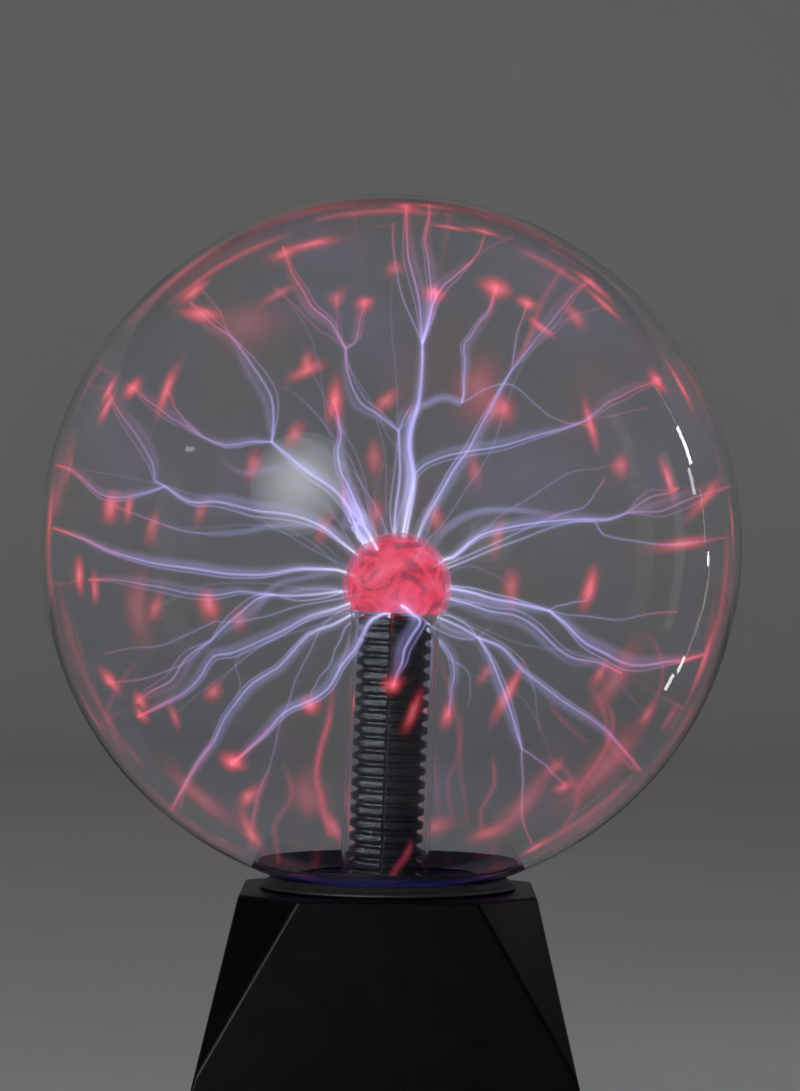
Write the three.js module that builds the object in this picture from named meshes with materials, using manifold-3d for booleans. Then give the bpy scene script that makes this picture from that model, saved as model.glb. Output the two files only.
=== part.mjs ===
// Plasma ball: a gas-filled glass globe with an electrode on a glass stem, on a faceted black base.
// Millimetres, +Z up. The origin is on the surface that the ball stands on, under the middle of the
// base. The front faces -Y. The switch, the microphone hole and the power socket face +Y.
import * as THREE from "three";
import { ConvexGeometry } from "three/addons/geometries/ConvexGeometry.js";
import { mergeVertices } from "three/addons/utils/BufferGeometryUtils.js";
import Module from "manifold-3d";

const wasm = await Module();
wasm.setup();

// ---- Driving dimensions ----
const GAP = 0.3; // between pieces that rest on each other
const GLOBE_RADIUS = 100;
const GLASS_WALL = 1.4;
const BASE_TOP = 84; // height of the base's top face
const SEAT_HEIGHT = 97.9; // from the base's top face up to the globe's middle
const GLOBE_Z = BASE_TOP + SEAT_HEIGHT;

// Base housing: a square pyramid with its four upper corners cut off
const TOP_HALF_WIDTH = 41.7;
const TOP_CORNER_SUM = 66.3; // x + y along a cut corner, at the top face
const SIDE_FLARE = 0.224; // how far a side moves out for each millimetre down
const CORNER_FLARE = 0.804; // the same for x + y along a cut corner
const HOUSING_WALL = 2.5;
const FOOT_HEIGHT = 3;
const HOUSING_BOTTOM = FOOT_HEIGHT + GAP;
const COVER_THICKNESS = 3;
const COVER_TOP = HOUSING_BOTTOM + COVER_THICKNESS;

// Globe neck and the ring that holds it
const NECK_RADIUS = 27;
const NECK_BOTTOM = 68.9;
const LIP_RADIUS = 29;
const LIP_HEIGHT = 2;
const NECK_HOLE_RADIUS = 30;
const BLACKOUT_RADIUS = 37.4; // of the upper edge of the coating on the globe's underside
const CLAMP_HEIGHT = 4;
const CLAMP_BOTTOM = NECK_BOTTOM + LIP_HEIGHT + GAP;
const CLAMP_TOP = CLAMP_BOTTOM + CLAMP_HEIGHT;

// Stem: a glass tube with a bulb, fused a little off centre and off plumb
const STEM_RADIUS = 12.7;
const STEM_WALL = 1;
const STEM_OFFSET = -1.2;
const STEM_LEAN = THREE.MathUtils.degToRad(2);
const STEM_BOTTOM = -14; // from the base's top face, along the stem
const FLARE_RADIUS = 22.8; // of the skirt at the stem's foot, which closes the globe's neck
const BULB_RADIUS = 15.4;
const BULB_Z = 86.2; // middle of the bulb, along the stem
const WOOL_RADIUS = BULB_RADIUS - STEM_WALL - 0.5;
const WOOL_FLOOR = BULB_Z - 7.2;

// Corrugated sleeve inside the stem
const SLEEVE_RADIUS = 10.6;
const SLEEVE_ROOT = 8.8;
const SLEEVE_BORE = 8;
const RIB_PITCH = 3.85;
const SLEEVE_TOP = WOOL_FLOOR - 1;
const SLEEVE_RIBS = 22;
const SLIT_WIDTH = 0.8;
const SLIT_TURN = THREE.MathUtils.degToRad(-6); // from the front towards the left

// Fixings: positions of one of each four, mirrored to the others
const COVER_SCREW_AT = [46, 24];
const FOOT_AT = [45, 45];
const BOARD_SCREW_AT = [33, 28];
const CLAMP_SCREW_AT = [24, 24];
const FOOT_RADIUS = 7;

// Circuit board
const BOARD_Z = 14;
const BOARD_THICKNESS = 1.6;
const BOARD_TOP = BOARD_Z + BOARD_THICKNESS;
const BOARD_SIZE = [76, 66];

// Rear panel: the middle of the row of controls on the sloping rear face
const PANEL_Z = 42;
const SWITCH_X = 18; // to the right as seen from behind
const JACK_X = -18;
const SWITCH_THROW = THREE.MathUtils.degToRad(10); // each way from its middle position
const PIVOT_DEPTH = 1; // of the rocker's axis below the panel face
const SWITCH_CUTOUT = [13.2, 19.6]; // in the rear face
const JACK_HOLE_RADIUS = 5.5;
const MICROPHONE_HOLE_RADIUS = 1.2;

// ---- Materials ----
const colours = {
  black_plastic: [0x0d0e10, 0.38, 0],
  black_rubber: [0x121210, 0.75, 0],
  black_nylon: [0x15171a, 0.45, 0],
  black_coating: [0x08080c, 0.15, 0],
  clear_glass: [0xdfe6ea, 0.03, 0],
  steel: [0xb8babd, 0.35, 1],
  steel_wool: [0x8d8a88, 0.55, 0.9],
  circuit_board: [0x1d5a34, 0.5, 0],
  ferrite: [0x2b2a2c, 0.7, 0],
  copper: [0xb5693c, 0.4, 0.9],
  potting: [0x7c1f1a, 0.45, 0],
  aluminium: [0xa9acb0, 0.45, 1],
  red_wire: [0xb0261d, 0.5, 0],
  black_wire: [0x131313, 0.5, 0],
  white_silicone: [0xd9d6cf, 0.55, 0],
};

function material(slot) {
  const [color, roughness, metalness] = colours[slot];
  const made = new THREE.MeshStandardMaterial({ color, roughness, metalness, name: slot });
  if (slot === "clear_glass") Object.assign(made, { transparent: true, opacity: 0.25 });
  return made;
}

// ---- Shape helpers ----

// A closed manifold-3d solid from a three.js geometry.
function solid(geometry) {
  const bare = new THREE.BufferGeometry();
  const plain = geometry.index ? geometry.toNonIndexed() : geometry;
  bare.setAttribute("position", plain.getAttribute("position"));
  const merged = mergeVertices(bare, 1e-4);
  return new wasm.Manifold(
    new wasm.Mesh({
      numProp: 3,
      vertProperties: merged.attributes.position.array,
      triVerts: new Uint32Array(merged.index.array),
    }),
  );
}

// A three.js geometry from a manifold-3d solid.
function geometryOf(body) {
  const { vertProperties, triVerts } = body.getMesh();
  const made = new THREE.BufferGeometry();
  made.setAttribute("position", new THREE.BufferAttribute(vertProperties, 3));
  made.setIndex(new THREE.BufferAttribute(triVerts, 1));
  made.computeVertexNormals();
  return made;
}

function joined(...bodies) {
  return bodies.reduce((all, body) => all.add(body));
}

function cut(body, ...tools) {
  return tools.reduce((rest, tool) => rest.subtract(tool), body);
}

// A solid of revolution about Z. The profile holds [radius, height] pairs, outside going up.
function turned(profile, segments = 32) {
  const points = profile.map(([r, z]) => new THREE.Vector2(r, z));
  return new THREE.LatheGeometry(points, segments).rotateX(Math.PI / 2);
}

// The same for a ring, whose profile closes on itself.
function ring(profile, segments = 32) {
  return turned([...profile, profile[0]], segments);
}

// A solid of revolution that keeps a bore open: a plain washer or tube.
function tube(inner, outer, bottom, top, segments = 32) {
  return ring([[inner, bottom], [outer, bottom], [outer, top], [inner, top]], segments);
}

function rod(radius, bottom, top, segments = 24) {
  return turned([[0, bottom], [radius, bottom], [radius, top], [0, top]], segments);
}

function block(width, depth, bottom, top) {
  const height = top - bottom;
  return new THREE.BoxGeometry(width, depth, height).translate(0, 0, bottom + height / 2);
}

// [radius, height] pairs along an arc about [0, middle], from one angle to another above the horizontal.
function arc(radius, middle, from, to, steps) {
  return Array.from({ length: steps + 1 }, (_, i) => {
    const angle = from + ((to - from) * i) / steps;
    return [Math.max(0, radius * Math.cos(angle)), middle + radius * Math.sin(angle)];
  });
}

// The angle below the horizontal at which a sphere has a given radius in plan.
function angleAt(sphereRadius, planRadius) {
  return -Math.acos(planRadius / sphereRadius);
}

// A round wire along a smooth curve through the points.
function wire(points, radius, steps, sides = 8) {
  const path = new THREE.CatmullRomCurve3(points.map((p) => new THREE.Vector3(...p)));
  const section = new THREE.Shape();
  for (let i = 0; i < sides; i += 1) {
    const angle = (2 * Math.PI * i) / sides;
    section[i ? "lineTo" : "moveTo"](radius * Math.cos(angle), radius * Math.sin(angle));
  }
  return new THREE.ExtrudeGeometry(section, { steps, extrudePath: path, bevelEnabled: false });
}

// Each of the four mirrored positions of a fixing.
function four([x, y]) {
  return [[x, y], [-x, y], [-x, -y], [x, -y]];
}

function mesh(name, geometry, slot, place = [0, 0, 0]) {
  const made = new THREE.Mesh(geometry, material(slot));
  made.name = name;
  made.position.set(...place);
  return made;
}

// ---- Base ----

function halfWidth(z) {
  return TOP_HALF_WIDTH + SIDE_FLARE * (BASE_TOP - z);
}

function cornerSum(z) {
  return TOP_CORNER_SUM + CORNER_FLARE * (BASE_TOP - z);
}

// The outline's corners at one height, drawn in by an inset: eight where the corners are cut, else four.
function outlineAt(z, inset) {
  const half = halfWidth(z) - inset;
  const across = Math.min(cornerSum(z) - inset * Math.SQRT2 - half, half);
  return [...four([half, across]), ...four([across, half])].map(([x, y]) => new THREE.Vector3(x, y, z));
}

// The pyramid between two heights. Its cut corners end where they meet the square's own corners.
function pyramid(bottom, top, inset = 0) {
  const cornerCut = 2 * TOP_HALF_WIDTH - TOP_CORNER_SUM - inset * (2 - Math.SQRT2);
  const drop = cornerCut / (CORNER_FLARE - 2 * SIDE_FLARE);
  const levels = [bottom, BASE_TOP - drop, top];
  return new ConvexGeometry(levels.flatMap((z) => outlineAt(z, inset)));
}

// Local axes of the rear panel: x to the right as seen from behind, y up the slope, z outwards.
const slope = Math.atan(SIDE_FLARE);
const panelMatrix = new THREE.Matrix4()
  .makeBasis(
    new THREE.Vector3(-1, 0, 0),
    new THREE.Vector3(0, -Math.sin(slope), Math.cos(slope)),
    new THREE.Vector3(0, Math.cos(slope), Math.sin(slope)),
  )
  .setPosition(0, halfWidth(PANEL_Z), PANEL_Z);

function onPanel(geometry) {
  return solid(geometry.applyMatrix4(panelMatrix));
}

function baseHousing() {
  const outer = solid(pyramid(HOUSING_BOTTOM, BASE_TOP));
  const inner = solid(pyramid(HOUSING_BOTTOM - 5, BASE_TOP - HOUSING_WALL, HOUSING_WALL));
  const shell = cut(outer, inner);
  const posts = four(COVER_SCREW_AT).map(([x, y]) =>
    solid(rod(4, COVER_TOP + GAP, 42, 16).translate(x, y, 0)).intersect(outer));
  const bosses = four(CLAMP_SCREW_AT).map(([x, y]) =>
    solid(rod(3.2, CLAMP_TOP + GAP, BASE_TOP - 1, 16).translate(x, y, 0)));
  const pilots = four(COVER_SCREW_AT).map(([x, y]) => solid(rod(1.8, 0, 18, 12).translate(x, y, 0)));
  const bossPilots = four(CLAMP_SCREW_AT).map(([x, y]) =>
    solid(rod(1.5, CLAMP_TOP, BASE_TOP - HOUSING_WALL, 12).translate(x, y, 0)));
  const depth = 2 * HOUSING_WALL;
  return geometryOf(cut(
    joined(shell, ...posts, ...bosses),
    solid(rod(NECK_HOLE_RADIUS, BASE_TOP - 6, BASE_TOP + 1, 40)),
    ...pilots,
    ...bossPilots,
    onPanel(block(...SWITCH_CUTOUT, -depth, depth).translate(SWITCH_X, 0, 0)),
    onPanel(rod(JACK_HOLE_RADIUS, -depth, depth, 20).translate(JACK_X, 0, 0)),
    onPanel(rod(MICROPHONE_HOLE_RADIUS, -depth, depth, 12)),
  ));
}

// A flat plate with board standoffs, vent slots and counterbored screw holes.
function bottomCover() {
  const half = halfWidth(COVER_TOP) - HOUSING_WALL - 0.5;
  const plate = solid(block(2 * half, 2 * half, HOUSING_BOTTOM, COVER_TOP));
  const standoffs = four(BOARD_SCREW_AT).map(([x, y]) =>
    solid(rod(3.2, COVER_TOP - 1, BOARD_Z - GAP, 16).translate(x, y, 0)));
  const threads = four(BOARD_SCREW_AT).map(([x, y]) =>
    solid(rod(1.4, COVER_TOP + 0.5, 20, 12).translate(x, y, 0)));
  const shoulder = HOUSING_BOTTOM + 1.6;
  const bore = [[0, 0], [3.6, 0], [3.6, shoulder], [1.9, shoulder], [1.9, 9], [0, 9]];
  const holes = four(COVER_SCREW_AT).map(([x, y]) => solid(turned(bore, 16).translate(x, y, 0)));
  const slots = [-2, -1, 0, 1, 2].map((i) => solid(block(3, 30, 0, 10).translate(i * 8, 0, 0)));
  return geometryOf(cut(joined(plate, ...standoffs), ...threads, ...holes, ...slots));
}

// A pan-head screw with a cross recess. Its head is at the bottom and its shank points up.
function screw(headRadius, headHeight, shankRadius, length) {
  const profile = [
    [0, 0], [headRadius * 0.7, 0], [headRadius, headHeight * 0.5], [headRadius, headHeight],
    [shankRadius, headHeight], [shankRadius, headHeight + length - 1], [0, headHeight + length],
  ];
  const recess = (turn) => solid(block(headRadius, headRadius * 0.25, -1, headHeight * 0.55).rotateZ(turn));
  return geometryOf(cut(solid(turned(profile, 12)), recess(0), recess(Math.PI / 2)));
}

function rubberFoot() {
  const r = FOOT_RADIUS;
  return turned([[0, 0], [r - 1, 0], [r, 1], [r, FOOT_HEIGHT], [0, FOOT_HEIGHT]], 20);
}

// The soft ring on the base's top face that the globe rests in.
function globeCollar() {
  const under = GLOBE_RADIUS + GAP;
  const seat = arc(under, SEAT_HEIGHT, angleAt(under, 33), angleAt(under, 29.5), 3);
  return ring([[29.5, GAP], [36.3, GAP], [36.6, 0.7], [36.2, 1.3], [33.6, 3.4], ...seat], 40);
}

// Half of the split ring that keeps the neck's lip under the base's top face.
function neckClamp(side) {
  const whole = solid(tube(NECK_RADIUS + 0.4, 38.5, CLAMP_BOTTOM, CLAMP_TOP, 36));
  const away = solid(block(100, 100, 0, 100).translate(side * (-50 + GAP), 0, 0));
  const holes = four(CLAMP_SCREW_AT).map(([x, y]) => solid(rod(1.6, 0, 100, 12).translate(x, y, 0)));
  return geometryOf(cut(whole, away, ...holes));
}

// ---- Globe ----

function globeShell() {
  const inner = GLOBE_RADIUS - GLASS_WALL;
  const bore = NECK_RADIUS - GLASS_WALL;
  const steps = 20;
  const profile = [
    ...arc(inner, GLOBE_Z, Math.PI / 2, angleAt(inner, bore), steps),
    [bore, NECK_BOTTOM],
    [LIP_RADIUS, NECK_BOTTOM],
    [LIP_RADIUS, NECK_BOTTOM + LIP_HEIGHT],
    [NECK_RADIUS, NECK_BOTTOM + LIP_HEIGHT],
    ...arc(GLOBE_RADIUS, GLOBE_Z, angleAt(GLOBE_RADIUS, NECK_RADIUS), Math.PI / 2, steps),
  ];
  return turned(profile, 32);
}

// Opaque coating on the inner face of the globe's underside, down to the neck.
function blackoutBand() {
  const outer = GLOBE_RADIUS - GLASS_WALL - 2 * GAP;
  const inner = outer - 0.6;
  const edge = angleAt(outer, BLACKOUT_RADIUS);
  const profile = [
    ...arc(outer, GLOBE_Z, angleAt(outer, 25.5), edge, 4),
    ...arc(inner, GLOBE_Z, edge, angleAt(inner, 25.5), 4),
  ];
  return ring(profile, 32);
}

// ---- Stem, in its own frame: Z along the stem from the base's top face ----

// A tube with the bulb on top. Its foot flares out to a flat rim that is fused into the globe's neck.
function stemTube() {
  const inner = BULB_RADIUS - STEM_WALL;
  const bore = STEM_RADIUS - STEM_WALL;
  const rim = FLARE_RADIUS - 6;
  const profile = [
    ...arc(inner, BULB_Z, Math.PI / 2, angleAt(inner, bore), 7),
    [bore, STEM_BOTTOM + 6],
    [rim, STEM_BOTTOM],
    [FLARE_RADIUS, STEM_BOTTOM],
    [FLARE_RADIUS, STEM_BOTTOM + STEM_WALL],
    [rim, STEM_BOTTOM + STEM_WALL],
    [STEM_RADIUS, STEM_BOTTOM + 7],
    ...arc(BULB_RADIUS, BULB_Z, angleAt(BULB_RADIUS, STEM_RADIUS), Math.PI / 2, 8),
  ];
  return turned(profile, 24);
}

// The nipple through which the globe was filled and sealed, under the flare's rim.
function exhaustTip() {
  const top = STEM_BOTTOM - GAP;
  return turned([[0, top - 9], [1, top - 8.6], [1.6, top - 6], [2.5, top - 3], [2.8, top], [0, top]], 12);
}

// Steel wool packed into the bulb. It is the electrode.
function electrodeWool() {
  const floor = Math.asin((WOOL_FLOOR - BULB_Z) / WOOL_RADIUS);
  return turned([[0, WOOL_FLOOR], ...arc(WOOL_RADIUS, BULB_Z, floor, Math.PI / 2, 7)], 20);
}

// Ribbed nylon tube, slit along its length.
function corrugatedSleeve() {
  const bottom = SLEEVE_TOP - SLEEVE_RIBS * RIB_PITCH;
  const ribs = Array.from({ length: SLEEVE_RIBS }, (_, i) => {
    const z = bottom + i * RIB_PITCH;
    return [[SLEEVE_ROOT, z], [SLEEVE_RADIUS, z + 0.3 * RIB_PITCH], [SLEEVE_RADIUS, z + 0.8 * RIB_PITCH]];
  }).flat();
  const profile = [[SLEEVE_BORE, bottom], ...ribs, [SLEEVE_ROOT, SLEEVE_TOP], [SLEEVE_BORE, SLEEVE_TOP]];
  const slit = block(SLIT_WIDTH, 2 * SLEEVE_RADIUS, bottom - 1, SLEEVE_TOP + 1)
    .translate(0, -SLEEVE_RADIUS - 2, 0)
    .rotateZ(SLIT_TURN);
  return geometryOf(cut(solid(ring(profile, 16)), solid(slit)));
}

// ---- Driver electronics ----

const CORE_LEG = 14; // each leg's distance from the core's middle
const CORE_Y = 4;
const CORE_HEIGHT = 36;
const CORE_YOKE = 7;
const COIL_BOTTOM = BOARD_TOP + GAP + CORE_YOKE + 0.5;
const COIL_TOP = BOARD_TOP + GAP + CORE_HEIGHT - CORE_YOKE - 0.5;

function circuitBoard() {
  const holes = four(BOARD_SCREW_AT).map(([x, y]) => solid(rod(1.5, 0, 30, 12).translate(x, y, 0)));
  return geometryOf(cut(solid(block(...BOARD_SIZE, BOARD_Z, BOARD_TOP)), ...holes));
}

// A closed ferrite frame of two legs and two yokes.
function flybackCore() {
  const bottom = BOARD_TOP + GAP;
  const frame = solid(block(2 * CORE_LEG + 8, 8, bottom, bottom + CORE_HEIGHT));
  const window = solid(block(2 * CORE_LEG - 8, 20, bottom + CORE_YOKE, bottom + CORE_HEIGHT - CORE_YOKE));
  return geometryOf(cut(frame, window));
}

// A winding round one leg: a wide flange at each end of a round body.
function winding(outer) {
  const flange = 1.2;
  return ring([
    [6.2, COIL_BOTTOM], [outer, COIL_BOTTOM],
    [outer, COIL_BOTTOM + flange], [outer - 1, COIL_BOTTOM + flange],
    [outer - 1, COIL_TOP - flange], [outer, COIL_TOP - flange],
    [outer, COIL_TOP], [6.2, COIL_TOP],
  ], 20);
}

function heatSink() {
  const plate = solid(block(3, 34, BOARD_TOP + GAP, BOARD_TOP + 28));
  const fins = [-2, -1, 0, 1, 2].map((i) =>
    solid(block(9, 1.6, BOARD_TOP + GAP, BOARD_TOP + 28).translate(-5, i * 8, 0)));
  return geometryOf(joined(plate, ...fins));
}

// A flat-tab power package standing on three legs.
function powerTransistor() {
  const tab = solid(block(1.3, 10, BOARD_TOP + 8, BOARD_TOP + 24).translate(-1.6, 0, 0));
  const body = solid(block(3.2, 10, BOARD_TOP + 8, BOARD_TOP + 17));
  const legs = [-2.5, 0, 2.5].map((y) =>
    solid(block(0.6, 0.9, BOARD_TOP + GAP, BOARD_TOP + 9).translate(0, y, 0)));
  const hole = solid(rod(1.8, -5, 5, 12).rotateY(Math.PI / 2).translate(0, 0, BOARD_TOP + 20.5));
  return geometryOf(cut(joined(tab, body, ...legs), hole));
}

// An electrolytic can with the groove near its foot.
function capacitor(radius, height) {
  const z = BOARD_TOP + GAP;
  return turned([
    [0, z], [radius, z], [radius, z + 1.2], [radius - 0.4, z + 1.8], [radius, z + 2.4],
    [radius, z + height - 0.5], [radius - 0.5, z + height], [0, z + height],
  ], 16);
}

// An eight-legged chip.
function timerChip() {
  const z = BOARD_TOP + GAP;
  const body = solid(block(9.4, 6.2, z + 0.8, z + 4));
  const legs = [-3, -1, 1, 3].flatMap((i) => [-1, 1].map((side) =>
    solid(block(0.6, 0.9, z, z + 2).translate(1.27 * i, 3.4 * side, 0))));
  return geometryOf(joined(body, ...legs));
}

// ---- Rear panel parts, in the panel's frame ----

const SWITCH_WELL = [10, 17.8]; // the hollow that the rocker tilts in

function switchBody() {
  const bezel = solid(block(16, 22, GAP, GAP + 1.6));
  const box = solid(block(SWITCH_CUTOUT[0] - 2 * GAP, SWITCH_CUTOUT[1] - 2 * GAP, -14, GAP + 1));
  const tabs = [-6, 0, 6].map((y) => solid(block(4.8, 0.8, -21, -13).translate(0, y, 0)));
  const well = solid(block(...SWITCH_WELL, -8, 10));
  const trunnions = solid(rod(1.2, -6, 6, 12).rotateY(Math.PI / 2).translate(0, 0, -PIVOT_DEPTH));
  return geometryOf(cut(joined(bezel, box, ...tabs), well, trunnions));
}

// The rocker in its middle position, about its own axis: a shallow V on a tapered root.
function switchRocker() {
  const outline = new THREE.Shape(
    [[-8, 4.2], [-8, 1.2], [-3.5, -4.5], [3.5, -4.5], [8, 1.2], [8, 4.2], [4, 3.3], [0, 2.9], [-4, 3.3]]
      .map(([x, y]) => new THREE.Vector2(x, y)),
  );
  const width = 9.4;
  const paddle = new THREE.ExtrudeGeometry(outline, { depth: width, bevelEnabled: false })
    .translate(0, 0, -width / 2)
    .applyMatrix4(new THREE.Matrix4().makeBasis(
      new THREE.Vector3(0, 1, 0), new THREE.Vector3(0, 0, 1), new THREE.Vector3(1, 0, 0)));
  const pins = rod(1, -5.7, 5.7, 12).rotateY(Math.PI / 2);
  return geometryOf(joined(solid(paddle), solid(pins)));
}

// A panel socket: a threaded barrel with a bore, and a pin standing in it.
function dcJack() {
  const flange = solid(rod(7.2, GAP, 2.1, 24));
  const barrel = solid(rod(JACK_HOLE_RADIUS - GAP, -13, GAP + 1, 24));
  const tabs = [-2, 2].map((x) => solid(block(0.8, 2.4, -17, -12).translate(x, 0, 0)));
  const bore = solid(rod(3.5, -9, 5, 24));
  const pin = solid(turned([[0, -10], [1, -10], [1, -4], [0.6, -3.4], [0, -3.4]], 12));
  return geometryOf(joined(cut(joined(flange, barrel, ...tabs), bore), pin));
}

function jackNut() {
  const top = -HOUSING_WALL - GAP;
  const hexagon = solid(rod(8.2, top - 2.5, top, 6));
  return geometryOf(cut(hexagon, solid(rod(JACK_HOLE_RADIUS, -10, 0, 20))));
}

function microphone() {
  const top = -HOUSING_WALL - GAP;
  const low = top - 6;
  return turned([[0, low], [4.4, low], [4.7, low + 0.4], [4.7, top - 0.4], [4.4, top], [0, top]], 20);
}

// ---- Assembly ----

function base() {
  const group = new THREE.Group();
  group.add(
    mesh("base_housing", baseHousing(), "black_plastic"),
    mesh("bottom_cover", bottomCover(), "black_plastic"),
    mesh("globe_collar", globeCollar(), "black_rubber", [0, 0, BASE_TOP]),
    mesh("neck_clamp_right", neckClamp(1), "black_nylon"),
    mesh("neck_clamp_left", neckClamp(-1), "black_nylon"),
  );
  four(COVER_SCREW_AT).forEach(([x, y], i) => {
    const place = [x, y, HOUSING_BOTTOM - 0.1];
    group.add(mesh(`cover_screw_${i + 1}`, screw(3.2, 1.4, 1.5, 11), "steel", place));
  });
  four(FOOT_AT).forEach(([x, y], i) => {
    group.add(mesh(`rubber_foot_${i + 1}`, rubberFoot(), "black_rubber", [x, y, 0]));
  });
  four(CLAMP_SCREW_AT).forEach(([x, y], i) => {
    const place = [x, y, CLAMP_BOTTOM - 1.5 - GAP];
    group.add(mesh(`clamp_screw_${i + 1}`, screw(2.6, 1.5, 1.2, 9), "steel", place));
  });
  return group;
}

function globe() {
  const group = new THREE.Group();
  group.add(
    mesh("globe_shell", globeShell(), "clear_glass"),
    mesh("blackout_band", blackoutBand(), "black_coating"),
  );
  return group;
}

function stem() {
  const group = new THREE.Group();
  group.position.set(STEM_OFFSET, 0, BASE_TOP);
  group.rotation.y = STEM_LEAN;
  group.add(
    mesh("stem_tube", stemTube(), "clear_glass"),
    mesh("exhaust_tip", exhaustTip(), "clear_glass", [FLARE_RADIUS - 3, 0, 0]),
    mesh("electrode_wool", electrodeWool(), "steel_wool"),
    mesh("corrugated_sleeve", corrugatedSleeve(), "black_nylon"),
  );
  return group;
}

// A point on the stem's axis, at a distance along it from the base's top face.
function onStem(along) {
  return [STEM_OFFSET + along * Math.sin(STEM_LEAN), 0, BASE_TOP + along * Math.cos(STEM_LEAN)];
}

// High-voltage lead from the top of the secondary winding up the sleeve to the wool.
function highVoltageLead() {
  const points = [
    [CORE_LEG, CORE_Y - 9, COIL_TOP + GAP],
    [CORE_LEG, CORE_Y - 9, COIL_TOP + 6],
    [8, -3.5, 57],
    onStem(-20),
    onStem(-8),
    onStem(20),
    onStem(50),
    onStem(WOOL_FLOOR - GAP),
  ];
  return wire(points, 1.3, 30);
}

function driver() {
  const group = new THREE.Group();
  group.add(
    mesh("circuit_board", circuitBoard(), "circuit_board"),
    mesh("flyback_core", flybackCore(), "ferrite", [0, CORE_Y, 0]),
    mesh("secondary_winding", winding(10.8), "potting", [CORE_LEG, CORE_Y, 0]),
    mesh("primary_winding", winding(8.6), "copper", [-CORE_LEG, CORE_Y, 0]),
    mesh("high_voltage_lead", highVoltageLead(), "white_silicone"),
    mesh("heat_sink", heatSink(), "aluminium", [-27, -8, 0]),
    mesh("power_transistor", powerTransistor(), "black_plastic", [-22.8, -8, 0]),
    mesh("reservoir_capacitor", capacitor(8, 22), "black_plastic", [14, -19, 0]),
    mesh("timing_capacitor", capacitor(4, 12), "black_plastic", [-4, -22, 0]),
    mesh("coupling_capacitor", capacitor(3.2, 9), "black_plastic", [-12, -24, 0]),
    mesh("timer_chip", timerChip(), "black_plastic", [27, 6, 0]),
  );
  four(BOARD_SCREW_AT).forEach(([x, y], i) => {
    const place = [x, y, BOARD_TOP + 1.5 + GAP];
    const made = mesh(`board_screw_${i + 1}`, screw(2.6, 1.5, 1.2, 8), "steel", place);
    made.rotation.x = Math.PI;
    group.add(made);
  });
  return group;
}

function rearPanel() {
  const group = new THREE.Group();
  group.applyMatrix4(panelMatrix);
  const rocker = mesh("switch_rocker", switchRocker(), "black_plastic", [SWITCH_X, 0, -PIVOT_DEPTH]);
  rocker.rotation.x = -SWITCH_THROW; // pressed in at the top, which is on
  group.add(
    rocker,
    mesh("switch_body", switchBody(), "black_plastic", [SWITCH_X, 0, 0]),
    mesh("dc_jack", dcJack(), "black_plastic", [JACK_X, 0, 0]),
    mesh("jack_nut", jackNut(), "steel", [JACK_X, 0, 0]),
    mesh("microphone", microphone(), "aluminium"),
  );
  return group;
}

// A point in the panel's frame, as a point in the part's frame.
function fromPanel(x, y, z) {
  return new THREE.Vector3(x, y, z).applyMatrix4(panelMatrix).toArray();
}

function wiring() {
  const landing = BOARD_TOP + GAP;
  const group = new THREE.Group();
  const supply = [fromPanel(JACK_X + 2, 0, -17.5), fromPanel(JACK_X + 2, -4, -22),
    [10, 24, 26], [14, 23, landing]];
  const feed = [fromPanel(JACK_X - 2, 0, -17.5), fromPanel(JACK_X - 3, 6, -23), fromPanel(0, 10, -24),
    fromPanel(SWITCH_X - 2, 9, -24), fromPanel(SWITCH_X, 6, -21.5)];
  const load = [fromPanel(SWITCH_X, 0, -21.5), fromPanel(SWITCH_X - 2, -4, -25),
    [-10, 24, 26], [-8, 23, landing]];
  const signal = [fromPanel(0, 0, -HOUSING_WALL - 6 - 2 * GAP), fromPanel(0, -2, -14),
    [1, 28, 27], [2, 24, landing]];
  group.add(
    mesh("supply_wire", wire(supply, 0.8, 14), "black_wire"),
    mesh("feed_wire", wire(feed, 0.8, 20), "red_wire"),
    mesh("load_wire", wire(load, 0.8, 14), "red_wire"),
    mesh("microphone_wire", wire(signal, 0.6, 14), "black_wire"),
  );
  return group;
}

const plasmaBall = new THREE.Group();
plasmaBall.add(base(), globe(), stem(), driver(), rearPanel(), wiring());

export default plasmaBall;
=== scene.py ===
"""The looks of the plasma ball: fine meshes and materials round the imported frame. Metres, +Z up."""

import math
import random
from collections import namedtuple

import bmesh
import bpy
from mathutils import Euler, Matrix, Vector, noise


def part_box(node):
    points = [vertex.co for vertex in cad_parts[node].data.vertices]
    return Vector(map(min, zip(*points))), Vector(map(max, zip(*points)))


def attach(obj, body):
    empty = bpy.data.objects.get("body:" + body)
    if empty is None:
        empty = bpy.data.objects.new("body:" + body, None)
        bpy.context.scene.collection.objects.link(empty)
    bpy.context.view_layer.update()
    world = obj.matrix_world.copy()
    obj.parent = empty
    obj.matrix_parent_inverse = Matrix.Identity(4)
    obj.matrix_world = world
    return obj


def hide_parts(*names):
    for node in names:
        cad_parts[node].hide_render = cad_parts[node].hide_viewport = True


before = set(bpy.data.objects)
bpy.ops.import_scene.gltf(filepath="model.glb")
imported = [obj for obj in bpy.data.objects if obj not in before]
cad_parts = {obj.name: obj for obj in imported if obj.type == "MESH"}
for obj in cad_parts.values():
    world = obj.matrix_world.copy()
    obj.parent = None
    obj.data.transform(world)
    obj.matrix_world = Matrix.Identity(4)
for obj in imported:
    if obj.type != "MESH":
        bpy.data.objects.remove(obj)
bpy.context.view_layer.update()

MM = 0.001
random.seed(8)
noise.seed_set(8)

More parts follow.
